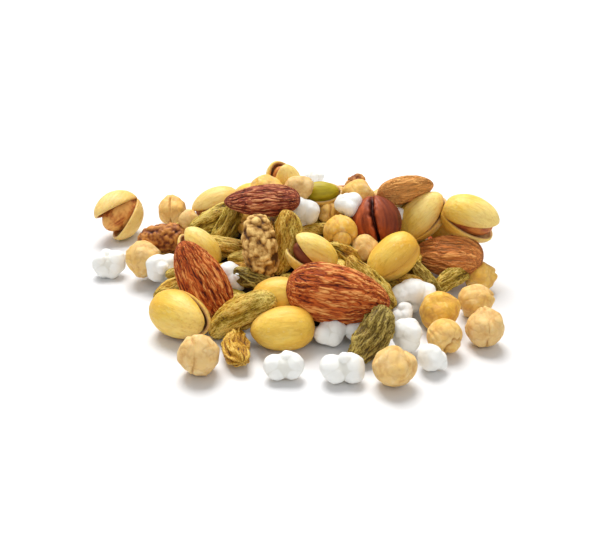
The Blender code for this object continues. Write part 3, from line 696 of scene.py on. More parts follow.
class Finish:
    """A material being made. Its shader's constants are given when it is begun."""

    def __init__(self, name, **constants):
        self.material = bpy.data.materials.new(name)
        self.material.use_nodes = True
        self.tree = self.material.node_tree
        self.shader = self.tree.nodes["Principled BSDF"]
        for socket, value in constants.items():
            self.shader.inputs[socket.replace("_", " ")].default_value = value
        self.local = self.node("ShaderNodeAttribute", {"attribute_name": "local"}, {}, "Vector")
        self.tone = self.node("ShaderNodeAttribute", {"attribute_name": "tone"}, {}, "Fac")
        self.relief = self.node("ShaderNodeAttribute", {"attribute_name": "relief"}, {}, "Fac")
        shift = {number: self.tone * far for number, far in enumerate(TONE_SHIFT)}
        self.spot = self.vector("ADD", self.local, self.node("ShaderNodeCombineXYZ", {}, shift))

    def node(self, kind, settings, inputs, output=0):
        """A node of a kind: its settings first, then the values or links of its inputs."""
        made = self.tree.nodes.new(kind)
        for name, value in settings.items():
            if name == "stops":
                ramp = made.color_ramp.elements
                while len(ramp) < len(value):
                    ramp.new(0.5)
                for stop, (place, colour) in zip(ramp, value):
                    stop.position, stop.color = place, (*colour, 1)
            else:
                setattr(made, name, value)
        for name, value in inputs.items():
            if isinstance(value, Wire):
                self.tree.links.new(value.socket, made.inputs[name])
            else:
                made.inputs[name].default_value = value
        return Wire(self, made.outputs[output])

    def vector(self, operation, *values):
        """Vector arithmetic."""
        return self.node("ShaderNodeVectorMath", {"operation": operation}, dict(enumerate(values)))

    def mix(self, share, one, other):
        """A colour that goes from one to the other as the share goes from 0 to 1."""
        one, other = (v if isinstance(v, Wire) else (*v, 1) for v in (one, other))
        return self.node("ShaderNodeMix", {"data_type": "RGBA"}, {0: share, 6: one, 7: other}, 2)

    def axis(self, name):
        """One of the piece's own coordinates, in millimetres."""
        return self.node("ShaderNodeSeparateXYZ", {}, {0: self.local}, name)

    def grain(self, fineness, detail=3.0):
        """Noise from 0 to 1 over the piece's own millimetres. Its fineness is one number, or three for
        the three axes."""
        fineness = fineness if isinstance(fineness, tuple) else (fineness,) * 3
        place = self.vector("MULTIPLY", self.spot, fineness)
        values = {"Vector": place, "Scale": 1.0, "Detail": detail, "Roughness": GRAIN_ROUGHNESS}
        return self.node("ShaderNodeTexNoise", {}, values, "Fac")

    def lines(self, fineness, detail=2.0):
        """Thin bright lines from 0 to 1, where the noise crosses its middle."""
        return (1 - abs(self.grain(fineness, detail) - 0.5) * LINE_SHARPNESS).clamped()

    def ramp(self, value, *stops):
        """A colour looked up along a row of stops."""
        return self.node("ShaderNodeValToRGB", {"stops": stops}, {0: value}, "Color")

    def step(self, value, low, high):
        """0 below low, 1 above high, smooth between."""
        return self.node(
            "ShaderNodeMapRange",
            {"interpolation_type": "SMOOTHSTEP"},
            {"Value": value, "From Min": low, "From Max": high},
        )

    def done(self, colour, roughness=None, height=None, distance=0.1 * MM, strength=0.6):
        """Wires colour, roughness and a bump of the height into the shader."""
        self.tree.links.new(colour.socket, self.shader.inputs["Base Color"])
        if roughness is not None:
            self.tree.links.new(roughness.socket, self.shader.inputs["Roughness"])
        if height is not None:
            values = {"Height": height, "Distance": distance, "Strength": strength}
            bump = self.node("ShaderNodeBump", {}, values)
            self.tree.links.new(bump.socket, self.shader.inputs["Normal"])
        return self.material


print("a finish can be begun")

# %% [markdown]
# ## Almonds
#
# An almond is a flattened drop with a point at its head. Its skin has shrunk on to it in wandering
# ridges that start at the broad tail and meet at the point. A bump map could fake them, but the light
# falls along the skin here, so they are real relief. Ridges come from noise with a long grain, folded
# at nought so that its crests are sharp.


# %% The shape of an almond
RIDGE = 0.28 * MM
WRINKLE = 0.12 * MM
VALLEY = -0.25


def almond_surface(t, a, place, seed):
    """x is the length times cos t. The width shrinks from the tail to the head, and ridges lift the skin."""
    c, ring = np.cos(t), np.sin(t)
    length, width, thick = (place.size * d / 2 for d in ALMOND)
    sway = 0.13 * noise(around(t, a, 4.0, 1.6), seed) + 0.05 * noise(around(t, a, 9.0, 4.0), seed + 5)
    coarse = np.maximum(folds(around(t, a + sway, 1.6, 8.8), seed + 1), VALLEY)
    fine = np.maximum(folds(around(t, a + 1.3 * sway, 2.6, 12.0), seed + 2), VALLEY)
    relief = 0.68 * coarse + 0.32 * fine
    fade = np.minimum(1, 1.7 * ring)
    wide = ring**0.88 * (1 - 0.19 * c - 0.09 * np.maximum(c, 0) ** 3) * (1 - 0.1 * swell(c, 1, 0.1))
    wide = wide * (1 + 0.035 * noise(direction(t, a) * 1.5, seed + 3))
    lift = (RIDGE * coarse + WRINKLE * fine) * fade * ring
    xyz = np.column_stack((
        0.985 * length * c,
        (width * 0.955 * wide + lift) * np.cos(a),
        (thick * 0.955 * wide + lift) * np.sin(a),
    ))
    return xyz, 0.5 + 0.5 * relief * fade


TONE_SEED = 900
DRAWN_TONES = (0.15, 0.75)
BACK_DETAIL = 0.6
TUCKED_DETAIL = 0.35


def wanted(*kinds):
    """The laid pieces of these kinds, each with its index."""
    return [(i, *laid) for i, laid in enumerate(LAID) if laid[0].kind in kinds]


def tone_of(index, place):
    """A tone from 0 to 1 for a piece: its own where the picture shows it, else drawn."""
    drawn = np.random.default_rng(TONE_SEED + index).uniform(*DRAWN_TONES)
    return TONES.get((place.x, place.y), drawn)


def gather(name, kinds, surface, rows, columns, crowd=0.0, tones=None):
    """One mesh of all pieces of the kinds. Those at the back and those tucked in get a coarser grid."""
    heap = Gathered(name)
    for index, place, axes, middle in wanted(*kinds):
        fine = TUCKED_DETAIL if index >= len(PLACES) else BACK_DETAIL if place.plan else 1.0
        t, a, quads, corners = ball_grid(even(int(rows * fine)), int(columns * fine), crowd)
        xyz, relief = surface(t, a, place, 10 * index)
        tone = (tones or {}).get((place.x, place.y), tone_of(index, place))
        heap.add(xyz, quads, corners, axes, middle, tone, relief)
    return heap.finish()


# Tones that the picture shows, from light or golden at 0 to dark or brown at 1, by pixel. A raisin of a
# tone below a fifth is painted darker instead, as painted shade for one that lies in another piece's shadow.
TONES = {
    (260, 199): 1.0, (200, 282): 0.25, (337, 298): 0.35, (450, 256): 0.14, (409, 188): 0.0,
    (343, 235): 0.88, (441, 314): 0.95, (443, 338): 0.55, (482, 277): 0.8, (475, 301): 0.45,
    (485, 328): 0.1, (199, 355): 0.0, (393, 367): 0.35, (141, 256): 0.4, (241, 222): 0.8,
    (172, 211): 0.5, (261, 250): 0.2, (162, 237): 0.9, (355, 189): 0.6, (198, 250): 0.3,
    (120, 214): 0.02, (178, 320): 0.5, (394, 259): 0.8, (425, 215): 0.3, (283, 334): 0.75,
    (280, 301): 0.7, (311, 258): 0.3, (323, 190): 0.3, (281, 183): 0.3, (215, 205): 0.1,
    (472, 217): 0.27, (241, 318): 0.45, (235, 350): 1.0, (285, 249): 0.6, (226, 249): 0.45,
    (372, 342): 0.04, (370, 286): 0.35, (452, 284): 0.3, (210, 217): 0.25, (224, 223): 0.2,
    (249, 280): 0.05, (345, 259): 0.4, (426, 278): 0.1,
}
almonds = gather("almonds", ("almond",), almond_surface, rows=66, columns=196)

# %% The skin of an almond
almond_skin = Finish("almond_skin", Specular_IOR_Level=0.28)
f = almond_skin
streaks = f.lines((0.14, 1.7, 1.7), 2.0)
grooves = f.step(f.lines((0.17, 1.15, 1.15), 2.5), 0.62, 1.0)
dust = f.grain((2.2, 4.5, 4.5), 2.0)
patches = f.grain((0.16, 0.22, 0.22), 2.0)
# The colour is lighter on the crests of the relief and much darker down in its valleys: painted highlight
# and painted shade over the bump. The streaks and patches are the skin's own.
height = (f.relief * 1.3 + streaks * 0.34 - grooves * 0.38 - 0.41).clamped()
warm = f.ramp(
    height + patches * 0.3 - 0.17,
    (0.02, (0.085, 0.009, 0.002)),
    (0.3, (0.42, 0.058, 0.007)),
    (0.66, (0.68, 0.15, 0.02)),
    (0.98, (0.96, 0.43, 0.12)),
)
dark = f.ramp(
    height + patches * 0.3 - 0.17,
    (0.02, (0.04, 0.005, 0.003)),
    (0.3, (0.22, 0.03, 0.011)),
    (0.66, (0.46, 0.096, 0.032)),
    (0.98, (0.84, 0.38, 0.16)),
)
skin = f.mix(f.step(f.tone, 0.45, 1.0), warm, dark)
skin = f.mix(f.step(f.tone, 0.25, 0.0) * 0.66, skin, (1.0, 0.53, 0.15))
skin = f.mix(f.step(dust, 0.62, 0.78) * 0.22, skin, (0.72, 0.4, 0.17))
almonds.data.materials.append(f.done(skin, 0.5 + dust * 0.25, height + dust * 0.2, 0.5 * MM, 1.0))
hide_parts("trail_mix_heap")
print("almond skin on", len(almonds.data.polygons), "faces")

# %% [markdown]
# ## Pistachio shells
#
# A roasted pistachio splits from its head, and stays hinged at its tail. The gape shows the wall of the
# shell, so each half is a closed wall: its outside, a rounded rim and its inside, in one grid whose
# poles are the crown outside and the crown inside. The lower half is the upper one, turned over.


# %% Half a shell
HALVES = {"pistachio": (1, -1), "closed": (1, -1), "half": (-1,)}
WALL_SHARE = 0.44
RIM_SHARE = 0.12
CLOSED_GAPE = 1.5


def half_shell_surface(t, a, place, seed, side):
    """Rows from the crown to the rim, round it and back inside to the crown. The egg is narrower at its
    head. The half is then swung open about the hinge, near the tail."""
    outside = np.clip(t / (WALL_SHARE * math.pi), 0, 1)
    inside = np.clip((t - (WALL_SHARE + RIM_SHARE) * math.pi) / (WALL_SHARE * math.pi), 0, 1)
    across_rim = np.clip((t / math.pi - WALL_SHARE) / RIM_SHARE, 0, 1)
    polar = np.where(inside > 0, 1 - inside, outside) * math.pi / 2
    way = np.column_stack((np.sin(polar) * np.cos(a), np.sin(polar) * np.sin(a), np.cos(polar)))
    rim = np.sin(math.pi * across_rim)
    length, width, thick = (place.size * d / 2 * 0.985 - across_rim * SHELL_WALL for d in PISTACHIO)
    egg = 1 - 0.1 * way[:, 0] - 0.05 * np.maximum(way[:, 0], 0) ** 4
    outer = across_rim < 0.5
    lumps = 1 + 0.02 * noise(way * 1.8, seed) + 0.009 * folds(way * (1.0, 4.5, 4.5), seed + 1) * outer
    keel = 1 + 0.02 * swell(polar, math.pi / 2, 0.22) * outer
    stem = 1 - 0.05 * swell(way[:, 0], -1, 0.12) * outer
    x = length * way[:, 0] * lumps * stem
    y = width * way[:, 1] * egg * lumps * keel
    z = thick * way[:, 2] * egg * lumps - 0.22 * SHELL_WALL * rim
    hinge = -SHELL_HINGE * place.size * PISTACHIO[0]
    turn = math.radians(place.gape if place.kind == "pistachio" else CLOSED_GAPE) / 2
    ahead = x - hinge
    x = hinge + ahead * math.cos(turn) - z * math.sin(turn)
    z = ahead * math.sin(turn) + z * math.cos(turn)
    return np.column_stack((x, side * y, side * z)), 1 - across_rim


shells = Gathered("pistachio_shells")
for index, place, axes, middle in wanted(*HALVES):
    rows = even(46 if place.kind == "pistachio" and not place.plan else 34)
    t, a, quads, corners = ball_grid(rows, 64 if not place.plan else 44)
    for side in HALVES[place.kind]:
        xyz, relief = half_shell_surface(t, a, place, 10 * index + side, side)
        shells.add(xyz, quads, corners, axes, middle, tone_of(index, place), relief)
shells = shells.finish()

# %% The finish of a shell
shell_finish = Finish(
    "pistachio_shell",
    Subsurface_Weight=0.25,
    Subsurface_Scale=1.8 * MM,
    Subsurface_Radius=(1.0, 0.6, 0.15),
    Specular_IOR_Level=0.3,
)
f = shell_finish
along = f.axis("X")
from_seam = abs(f.axis("Z"))
clouds = f.grain((0.1, 0.16, 0.16), 3.0)
lines = f.grain((0.22, 1.5, 1.5), 3.0)
veins = f.lines((0.14, 0.55, 0.55), 2.0)
specks = f.grain((3.0, 4.0, 4.0), 1.0)
mottle = f.grain((0.55, 0.9, 0.9), 4.0)
deep = (f.tone * 0.55 + clouds * 1.2 + mottle * 0.55 - 0.78 - along * 0.03).clamped()
outer = f.ramp(
    deep,
    (0.05, (0.96, 0.71, 0.23)),
    (0.4, (0.93, 0.61, 0.1)),
    (0.95, (0.8, 0.41, 0.024)),
)
outer = f.mix(f.step(f.tone, 0.25, 0.1) * 0.55, outer, (0.82, 0.55, 0.19))
outer = f.mix(f.step(lines, 0.5, 0.7) * 0.38, outer, (0.64, 0.33, 0.03))
outer = f.mix(f.step(veins, 0.6, 1.0) * 0.16, outer, (0.62, 0.32, 0.04))
outer = f.mix(f.step(mottle, 0.56, 0.74) * 0.45, outer, (0.98, 0.8, 0.34))
# Golden brown near the seam, where the shell curves away: painted shade.
outer = f.mix(f.step(from_seam + clouds * 3.0 + mottle * 1.2, 5.4, 1.6) * 0.62, outer, (0.6, 0.27, 0.03))
outer = f.mix(f.step(along, -7.0, -8.4) * 0.5, outer, (0.4, 0.19, 0.04))
outer = f.mix(f.step(specks, 0.68, 0.8) * 0.5, outer, (0.33, 0.15, 0.04))
inner = f.mix(clouds, (0.7, 0.48, 0.22), (0.52, 0.28, 0.09))
shell_colour = f.mix(f.step(f.relief, 0.45, 0.85), inner, outer)
bumps = lines * 0.9 + mottle * 1.1 - veins * 0.2 + specks * 0.1
shells.data.materials.append(f.done(shell_colour, 0.34 + lines * 0.22, bumps, 0.2 * MM, 0.7))
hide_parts("trail_mix_heap", "pistachio_apart")
print("shell finish on", len(shells.data.polygons), "faces")

# %% [markdown]
# ## Pistachio kernels
#
# The kernel fills its shell and shows only in the gape or in an open half, under a thin wrinkled skin
# that roasting turned orange-brown. Its two halves meet in a shallow groove.


# %% Kernels and their skin
KERNEL_GAP = 1.25 * SHELL_WALL
WIDE_GAPE = 25


def kernel_surface(t, a, place, seed):
    """The shell's egg, smaller by the wall, wrinkled along its length and grooved at both sides. In a wide
    gape it is a tenth larger."""
    c, ring = np.cos(t), np.sin(t)
    swollen = 1.1 if place.gape > WIDE_GAPE else 1.0
    length, width, thick = (swollen * (place.size * d / 2 - KERNEL_GAP) for d in PISTACHIO)
    wrinkle = folds(around(t, a, 1.6, 3.4), seed)
    groove = swell(np.abs(np.cos(a)), 1, 0.02) * ring
    wide = ring * (1 - 0.1 * c) * (1 + 0.022 * wrinkle - 0.06 * groove)
    wide = wide * (1 + 0.04 * noise(direction(t, a) * 2, seed + 1))
    xyz = np.column_stack((0.95 * length * c, width * wide * np.cos(a), thick * wide * np.sin(a)))
    return xyz, 0.5 + 0.5 * wrinkle


# Tones of the kernels, by pixel: bright orange at 0, dark brown from 0.85 and green at 1
KERNEL_TONES = {
    (323, 190): 1.0,
    (311, 258): 0.8,
    (198, 250): 0.85,
    (472, 217): 0.4,
    (178, 320): 0.65,
    (120, 214): 0.0,
}
WITH_KERNEL = ("pistachio", "half")
kernels = gather("pistachio_kernels", WITH_KERNEL, kernel_surface, rows=40, columns=44, tones=KERNEL_TONES)
kernel_skin = Finish("kernel_skin", Specular_IOR_Level=0.3)
f = kernel_skin
streaks = f.grain((0.3, 1.3, 1.3))
blotch = f.grain((0.25, 0.3, 0.3), 2.0)
skin = f.ramp(
    (f.relief * 0.35 + streaks * 0.7).clamped(),
    (0.25, (0.17, 0.03, 0.01)),
    (0.5, (0.5, 0.145, 0.03)),
    (0.8, (0.78, 0.34, 0.075)),
)
skin = f.mix(f.step(f.tone, 0.15, 0.0) * f.step(blotch, 0.38, 0.58) * 0.75, skin, (0.92, 0.5, 0.13))
skin = f.mix(f.step(blotch, 0.5, 0.7) * 0.6 * f.step(f.tone, 0.0, 0.15), skin, (0.33, 0.06, 0.03))
skin = f.mix(f.step(f.tone, 0.45, 0.85) * 0.8, skin, (0.12, 0.014, 0.012))
skin = f.mix(f.step(f.tone, 0.92, 0.96), skin, f.mix(streaks, (0.26, 0.19, 0.003), (0.6, 0.48, 0.015)))
kernels.data.materials.append(f.done(skin, 0.42 + streaks * 0.2, streaks, 0.12 * MM))
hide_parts("trail_mix_heap", "pistachio_apart")

# %% [markdown]
# ## Roasted chickpeas
#
# A roasted chickpea is a ball with a beak, and a cleft runs from the beak over one side, between its
# two cheeks. Dry roasting leaves it matte, cream to golden, a little dented and finely crazed. All of
# it can be a ball's radius that changes with direction.


# %% The shape of a chickpea
BEAK_WAY = np.array((0.96, 0.0, 0.28))
CLEFT_DEPTHS = (0.08, 0.17)
CLEFT_SPREADS = (0.05, 0.1)
CLEFT_BOWS = (-0.2, 0.2)


def chickpea_surface(t, a, place, seed):
    """The radius, as a share of the full one: lumps, less a wandering cleft that fades out at the back,
    plus a lip on either side of it and a beak at the head. A beak that stands off is a ball of its own,
    with a crease round its foot."""
    way = direction(t, a)
    rng = np.random.default_rng(seed)
    drawn = [rng.uniform(*limits) for limits in (CLEFT_DEPTHS, CLEFT_SPREADS, CLEFT_BOWS)]
    depth, spread, bow, aside, swung = CLEFTS.get((place.x, place.y), (*drawn, 0.0, 0.0))
    ahead, beak = BEAKS.get((place.x, place.y), (0.0, 0.0))
    swung = math.radians(swung)
    across = way[:, 1] * math.cos(swung) + way[:, 0] * math.sin(swung)
    down = way[:, 0] * math.cos(swung) - way[:, 1] * math.sin(swung)
    off = across - aside - bow * down**2 - 0.07 * noise(way * 2.4, seed)
    front = np.clip(way[:, 2] * 1.8 + 0.55 + 0.5 * way[:, 0], 0, 1)
    front = front * np.clip(0.75 + 0.9 * noise(way * 2.0, seed + 7), 0.25, 1)
    cleft = swell(off, 0, spread) * front
    lips = both_sides(off, 2.2 * spread, 1.6 * spread) * front
    crazing = folds(way * 3.6, seed + 2)
    out = 0.93 + 0.085 * noise(way * 1.4, seed + 1) + 0.034 * noise(way * 3.1, seed + 5)
    out += 0.06 * folds(way * 1.5, seed + 6)
    along = way @ BEAK_WAY * ahead
    inside = along**2 - ahead**2 + beak**2
    lobe = np.where(inside > 0, along + np.sqrt(np.maximum(inside, 0)), 0)
    out = out * (1 - 0.35 * max(0, ahead - 0.45))
    body = np.where(lobe > 0, 0.93 - 0.12 * swell(lobe - out, 0, 0.14), out)
    crease = np.where(lobe > 0, swell(lobe - body, 0, 0.05), 0)
    out = np.maximum(body, lobe) - 0.09 * crease
    out += -depth * cleft + 0.04 * lips + 0.008 * crazing
    out += (0.11 if beak == 0 else 0) * swell(np.arccos(np.clip(way[:, 0], -1, 1)), 0, 0.42)
    radius = place.size * CHICKPEA / 2
    relief = 0.75 + 0.14 * crazing - min(8 * depth, 0.95) * cleft - 0.7 * crease
    return way * (radius * out)[:, None], np.clip(relief, 0, 1)


# Clefts that the picture shows, by pixel: depth, spread, bow and how far aside, as shares of the radius,
# and how far the cleft is swung from the long axis, in degrees
CLEFTS = {
    (343, 235): (0.01, 0.06, 0.0, 0.0, 0),
    (443, 338): (0.01, 0.06, 0.0, 0.0, 0),
    (199, 355): (0.09, 0.075, 0.3, 0.1, 80),
    (393, 367): (0.07, 0.085, 0.25, 0.25, 70),
    (241, 222): (0.02, 0.08, 0.0, 0.0, 0),
    (172, 211): (0.16, 0.06, 0.05, 0.0, 0),
    (485, 328): (0.1, 0.05, 0.05, 0.0, 0),
}
# Beaks that stand off, by pixel: how far ahead the beak's middle lies, and its own radius, as shares of
# the full radius
BEAKS = {(343, 235): (0.52, 0.55), (443, 338): (0.34, 0.62), (241, 222): (0.42, 0.66)}
chickpeas = gather("chickpeas", ("chickpea",), chickpea_surface, rows=46, columns=60, crowd=0.35)

# %% The skin of a chickpea
chickpea_skin = Finish(
    "chickpea_skin",
    Subsurface_Weight=0.18,
    Subsurface_Scale=1.4 * MM,
    Subsurface_Radius=(1.0, 0.55, 0.2),
    Specular_IOR_Level=0.22,
)
f = chickpea_skin
clouds = f.grain(0.2, 3.0)
mottle = f.grain(0.38, 3.0)
specks = f.grain(2.6, 2.0)
cracks = f.lines(0.3, 1.5)
gold = f.step(f.tone * 0.85 + clouds * 1.1 + mottle * 0.4 - 0.8, 0.1, 0.85)
skin = f.mix(gold, (0.81, 0.55, 0.22), (0.85, 0.5, 0.068))
skin = f.mix(f.step(f.tone, 0.9, 0.95) * f.step(mottle, 0.6, 0.35) * 0.55, skin, (0.6, 0.27, 0.045))
skin = f.mix(f.step(mottle, 0.5, 0.72) * 0.4, skin, (0.92, 0.75, 0.46))
skin = f.mix(f.step(mottle, 0.5, 0.3) * 0.6, skin, (0.62, 0.3, 0.06))
# Darker in the cleft and in the crease round a beak's foot: painted shade down in them.
skin = f.mix(f.step(f.relief, 0.6, 0.0) * 0.7, skin, (0.46, 0.19, 0.035))
skin = f.mix(f.step(cracks, 0.65, 1.0) * 0.26, skin, (0.48, 0.22, 0.05))
skin = f.mix(f.step(specks, 0.66, 0.8) * 0.45, skin, (0.42, 0.2, 0.06))
height = mottle * 0.7 + specks * 0.12 - f.step(cracks, 0.5, 1.0) * 0.22
chickpeas.data.materials.append(f.done(skin, 0.45 + mottle * 0.25, height, 0.36 * MM, 0.8))
CHICKPEA_NODES = [p.node for p in SEEN if p.kind == "chickpea" and p.node]
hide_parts("trail_mix_heap", *CHICKPEA_NODES)
print("chickpeas stand for", CHICKPEA_NODES)

# %% [markdown]
# ## Sugared chickpeas
#
# These are chickpeas tumbled in sugar syrup, which sets in fat white lobes like popcorn. A few balls
# that run into one another have that form. The surface in any direction is the furthest ball that way,
# and a soft maximum rounds the creases between them.


# %% The shape of a sugared chickpea
KNOBS = 5
KNOB_OUT = 0.58
KNOB_RADII = (0.22, 0.34)
LEAST_REACH = 0.42
SHARP = 8


def sugared_surface(t, a, place, seed):
    """How far each lobe reaches along a direction, joined by a soft maximum: the root of a sum of powers.
    Small knobs of sugar, drawn for each piece, count as lobes too."""
    way = direction(t, a)
    rng = np.random.default_rng(seed + 3)
    lobes = np.array(LOBES[place.lobes])
    lobes, radii = lobes[:, :3] + rng.normal(0, 0.04, (len(lobes), 3)), lobes[:, 3]
    knobs = rng.normal(0, 1, (KNOBS, 3)) * (1, 1, 0.8)
    knobs *= KNOB_OUT / np.linalg.norm(knobs, axis=1)[:, None]
    lobes, radii = np.vstack((lobes, knobs)), np.concatenate((radii, rng.uniform(*KNOB_RADII, KNOBS)))
    along = way @ lobes.T
    inside = along**2 - (lobes**2).sum(axis=1) + radii**2
    reach = np.maximum(np.where(inside > 0, along + np.sqrt(np.maximum(inside, 0)), 0), LEAST_REACH)
    out = (reach**SHARP).sum(axis=1) ** (1 / SHARP)
    crease = out / reach.max(axis=1) - 1
    bumpy = 1 + 0.04 * noise(way * 2.6, seed + 1) + 0.024 * noise(way * 5.5, seed)
    out = 0.975 * out / len(lobes) ** (0.35 / SHARP) * bumpy
    radius = place.size * SUGARED / 2
    return way * (radius * out)[:, None], np.clip(1 - 8 * crease, 0, 1)


sugared = gather("sugared_chickpeas", ("sugared",), sugared_surface, rows=50, columns=60)

# %% The sugar crust
sugar_crust = Finish(
    "sugar_crust",
    Subsurface_Weight=0.3,
    Subsurface_Scale=2.0 * MM,
    Subsurface_Radius=(1.0, 0.96, 0.9),
    Specular_IOR_Level=0.35,
)
f = sugar_crust
clouds = f.grain(0.3, 3.0)
pits = f.grain(1.6, 4.0)
crust = f.mix(clouds, (0.95, 0.95, 0.91), (0.88, 0.88, 0.83))
# Grey-beige in the creases between the lobes: painted shade down in them.
crust = f.mix(f.step(f.relief, 0.5, 0.0) * 0.35, crust, (0.62, 0.59, 0.48))
sugared.data.materials.append(f.done(crust, 0.36 + pits * 0.3, pits + clouds * 0.5, 0.14 * MM, 0.5))
SUGARED_NODES = [p.node for p in SEEN if p.kind == "sugared" and p.node]
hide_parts("trail_mix_heap", *SUGARED_NODES)
print("sugared chickpeas stand for", SUGARED_NODES)

# %% [markdown]
# ## Green raisins
#
# A long green raisin is a bag that has lost its water: deep folds run along it, and a net of fine pale
# creases lies between them. The flesh is clear enough that thin folds glow. The folds are relief, and
# their crests are painted paler than their valleys, as painted light on the crests and painted shade below.


# %% The shape of a raisin
FOLD_LIFT = 0.15
CREASE_LIFT = 0.08


def raisin_surface(t, a, place, seed):
    """A blunt drop, bent a little, whose folds wander along it, with finer creases over them."""
    c, ring = np.cos(t), np.sin(t)
    length, width, thick = (place.size * d / 2 for d in RAISIN)
    sway = 0.35 * noise(around(t, a, 2.0, 0.9), seed)
    deep = folds(around(t, a + sway, 1.2, 2.2), seed + 1)
    fine = folds(around(t, a + 1.2 * sway, 1.9, 4.2), seed + 2)
    fade = np.minimum(1, 1.8 * ring)
    lift = (FOLD_LIFT * deep + CREASE_LIFT * fine) * fade * CRUMPLED.get((place.x, place.y), 1.0)
    ends = np.minimum(1, ring * 30)
    wide = np.maximum(ring, 1e-6) ** 0.75 * (1 + 0.12 * c) * (0.93 + lift)
    wide = wide * (1 + 0.08 * noise(direction(t, a) * (2.5, 1, 1), seed + 4)) * ends
    bend = RAISIN_BEND * math.cos(seed * 0.17) * (1 - 2 * c**2) * ends
    xyz = np.column_stack((0.97 * length * c, width * wide * np.cos(a) + bend, thick * wide * np.sin(a)))
    return xyz, np.clip(0.45 + 0.28 * deep + 0.27 * fine, 0, 1)


# Raisins that the picture shows more folded than usual, by pixel: how many times as deep
CRUMPLED = {(372, 342): 2.2, (235, 350): 1.3, (452, 284): 1.6, (249, 280): 1.6}
raisins = gather("raisins", ("raisin",), raisin_surface, rows=54, columns=70)

# %% The skin of a raisin
raisin_skin = Finish(
    "raisin_skin",
    Subsurface_Weight=0.25,
    Subsurface_Scale=1.5 * MM,
    Subsurface_Radius=(1.0, 0.65, 0.1),
    Specular_IOR_Level=0.25,
)
f = raisin_skin
clouds = f.grain((0.14, 0.22, 0.22), 2.0)
threads = f.lines((0.28, 1.7, 1.7), 3.0)
net = f.lines((0.8, 1.9, 1.9), 2.0)
# The skin's own fine threads and net are pale. The crests of the folds are painted paler still and the
# valleys nearly black, as painted light and painted shade.
crest = (f.relief * 0.7 + threads * 0.48 + net * 0.34 - 0.34).clamped()
skin = f.ramp(
    crest,
    (0.08, (0.04, 0.02, 0.001)),
    (0.34, (0.19, 0.105, 0.003)),
    (0.6, (0.39, 0.25, 0.016)),
    (0.95, (0.8, 0.61, 0.16)),
)
amber = f.ramp(
    crest,
    (0.08, (0.07, 0.022, 0.001)),
    (0.34, (0.31, 0.12, 0.003)),
    (0.6, (0.53, 0.26, 0.014)),
    (0.95, (0.86, 0.58, 0.13)),
)
skin = f.mix(f.step(clouds + f.tone * 0.6, 0.62, 0.95) * 0.9, skin, amber)
# Raisins of a tone below a fifth are painted darker, most of all in their valleys: painted shade where a
# raisin lies in another piece's shadow.
skin = f.mix(f.step(f.tone, 0.2, 0.0) * (1.45 - crest).clamped() * 0.9, skin, (0.045, 0.024, 0.002))
raisins.data.materials.append(f.done(skin, 0.36 + threads * 0.25, crest, 0.28 * MM, 0.8))
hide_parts("trail_mix_heap")
print("raisin skin on", len(raisins.data.polygons), "faces")

# %% [markdown]
# ## Dried mulberries
#
# A mulberry is a spindle packed with small round fruitlets, which dry to tan beads with sunk gaps
# between them, painted dark as painted shade. Each bead is a cap round a point on the spindle: the
# surface is lifted by how near the nearest point is. The points stand in staggered rows with a little
# disorder.


# %% The shape of a mulberry
FRUITLET = 1.6 * MM
FRUITLET_ROWS = 12
WANDER = 0.42 * MM


def mulberry_surface(t, a, place, seed):
    """A spindle lifted to a round cap over the nearest fruitlet's middle, and sunk between them."""
    rng = np.random.default_rng(seed)
    length, width, thick = (place.size * d / 2 for d in MULBERRY)

    def spindle(t, a):
        """An ellipsoid with blunter ends."""
        wide = np.maximum(np.sin(t), 1e-6) ** 0.7 * (1 - 0.06 * np.cos(t))
        across, up = width * wide * np.cos(a), thick * wide * np.sin(a)
        return np.column_stack((length * np.cos(t), across, up)) * 0.93

    rows = np.arccos(np.linspace(0.96, -0.96, FRUITLET_ROWS))
    middles = []
    for number, row in enumerate(rows):
        many = max(3, round(FRUITLET_ROWS * place.size * math.sin(row) ** 0.7))
        turns = (np.arange(many) + 0.5 * (number % 2)) * 2 * math.pi / many
        middles.append(spindle(row + rng.normal(0, 0.07, many), turns + rng.normal(0, 0.16, many)))
    middles = np.vstack(middles)
    base = spindle(t, a)
    warped = base + WANDER * np.column_stack([noise(base / MM * 0.8, seed + k) for k in (2, 3, 4)])
    gap = np.linalg.norm(warped[:, None, :] - middles[None, :, :], axis=2)
    gap = gap / rng.uniform(0.8, 1.25, len(middles))
    nearest = gap.min(axis=1)
    own = rng.uniform(-0.5, 0.5, len(middles))[gap.argmin(axis=1)]
    cap = np.sqrt(np.clip(1 - (nearest / FRUITLET) ** 2, 0, 1))
    shrivel = noise(base / MM * 1.3, seed + 1)
    creases = folds(base / MM * 0.9, seed + 6)
    lift = FRUITLET * (0.46 * cap - 0.25 + 0.2 * own * cap + 0.11 * shrivel - 0.1 * creases * cap)
    outward = base / np.linalg.norm(base * (0.35, 1, 1), axis=1)[:, None] * (0.35, 1, 1)
    relief = cap + 0.3 * own * cap + 0.12 * shrivel - 0.22 * creases
    return base + outward * lift[:, None], np.clip(relief, 0, 1)


mulberries = gather("mulberries", ("mulberry",), mulberry_surface, rows=130, columns=104)

# %% The skin of a mulberry
mulberry_skin = Finish("mulberry_skin", Specular_IOR_Level=0.3)
f = mulberry_skin
clouds = f.grain(0.25, 2.0)
wrinkles = f.grain((1.8, 2.2, 2.2), 3.0)
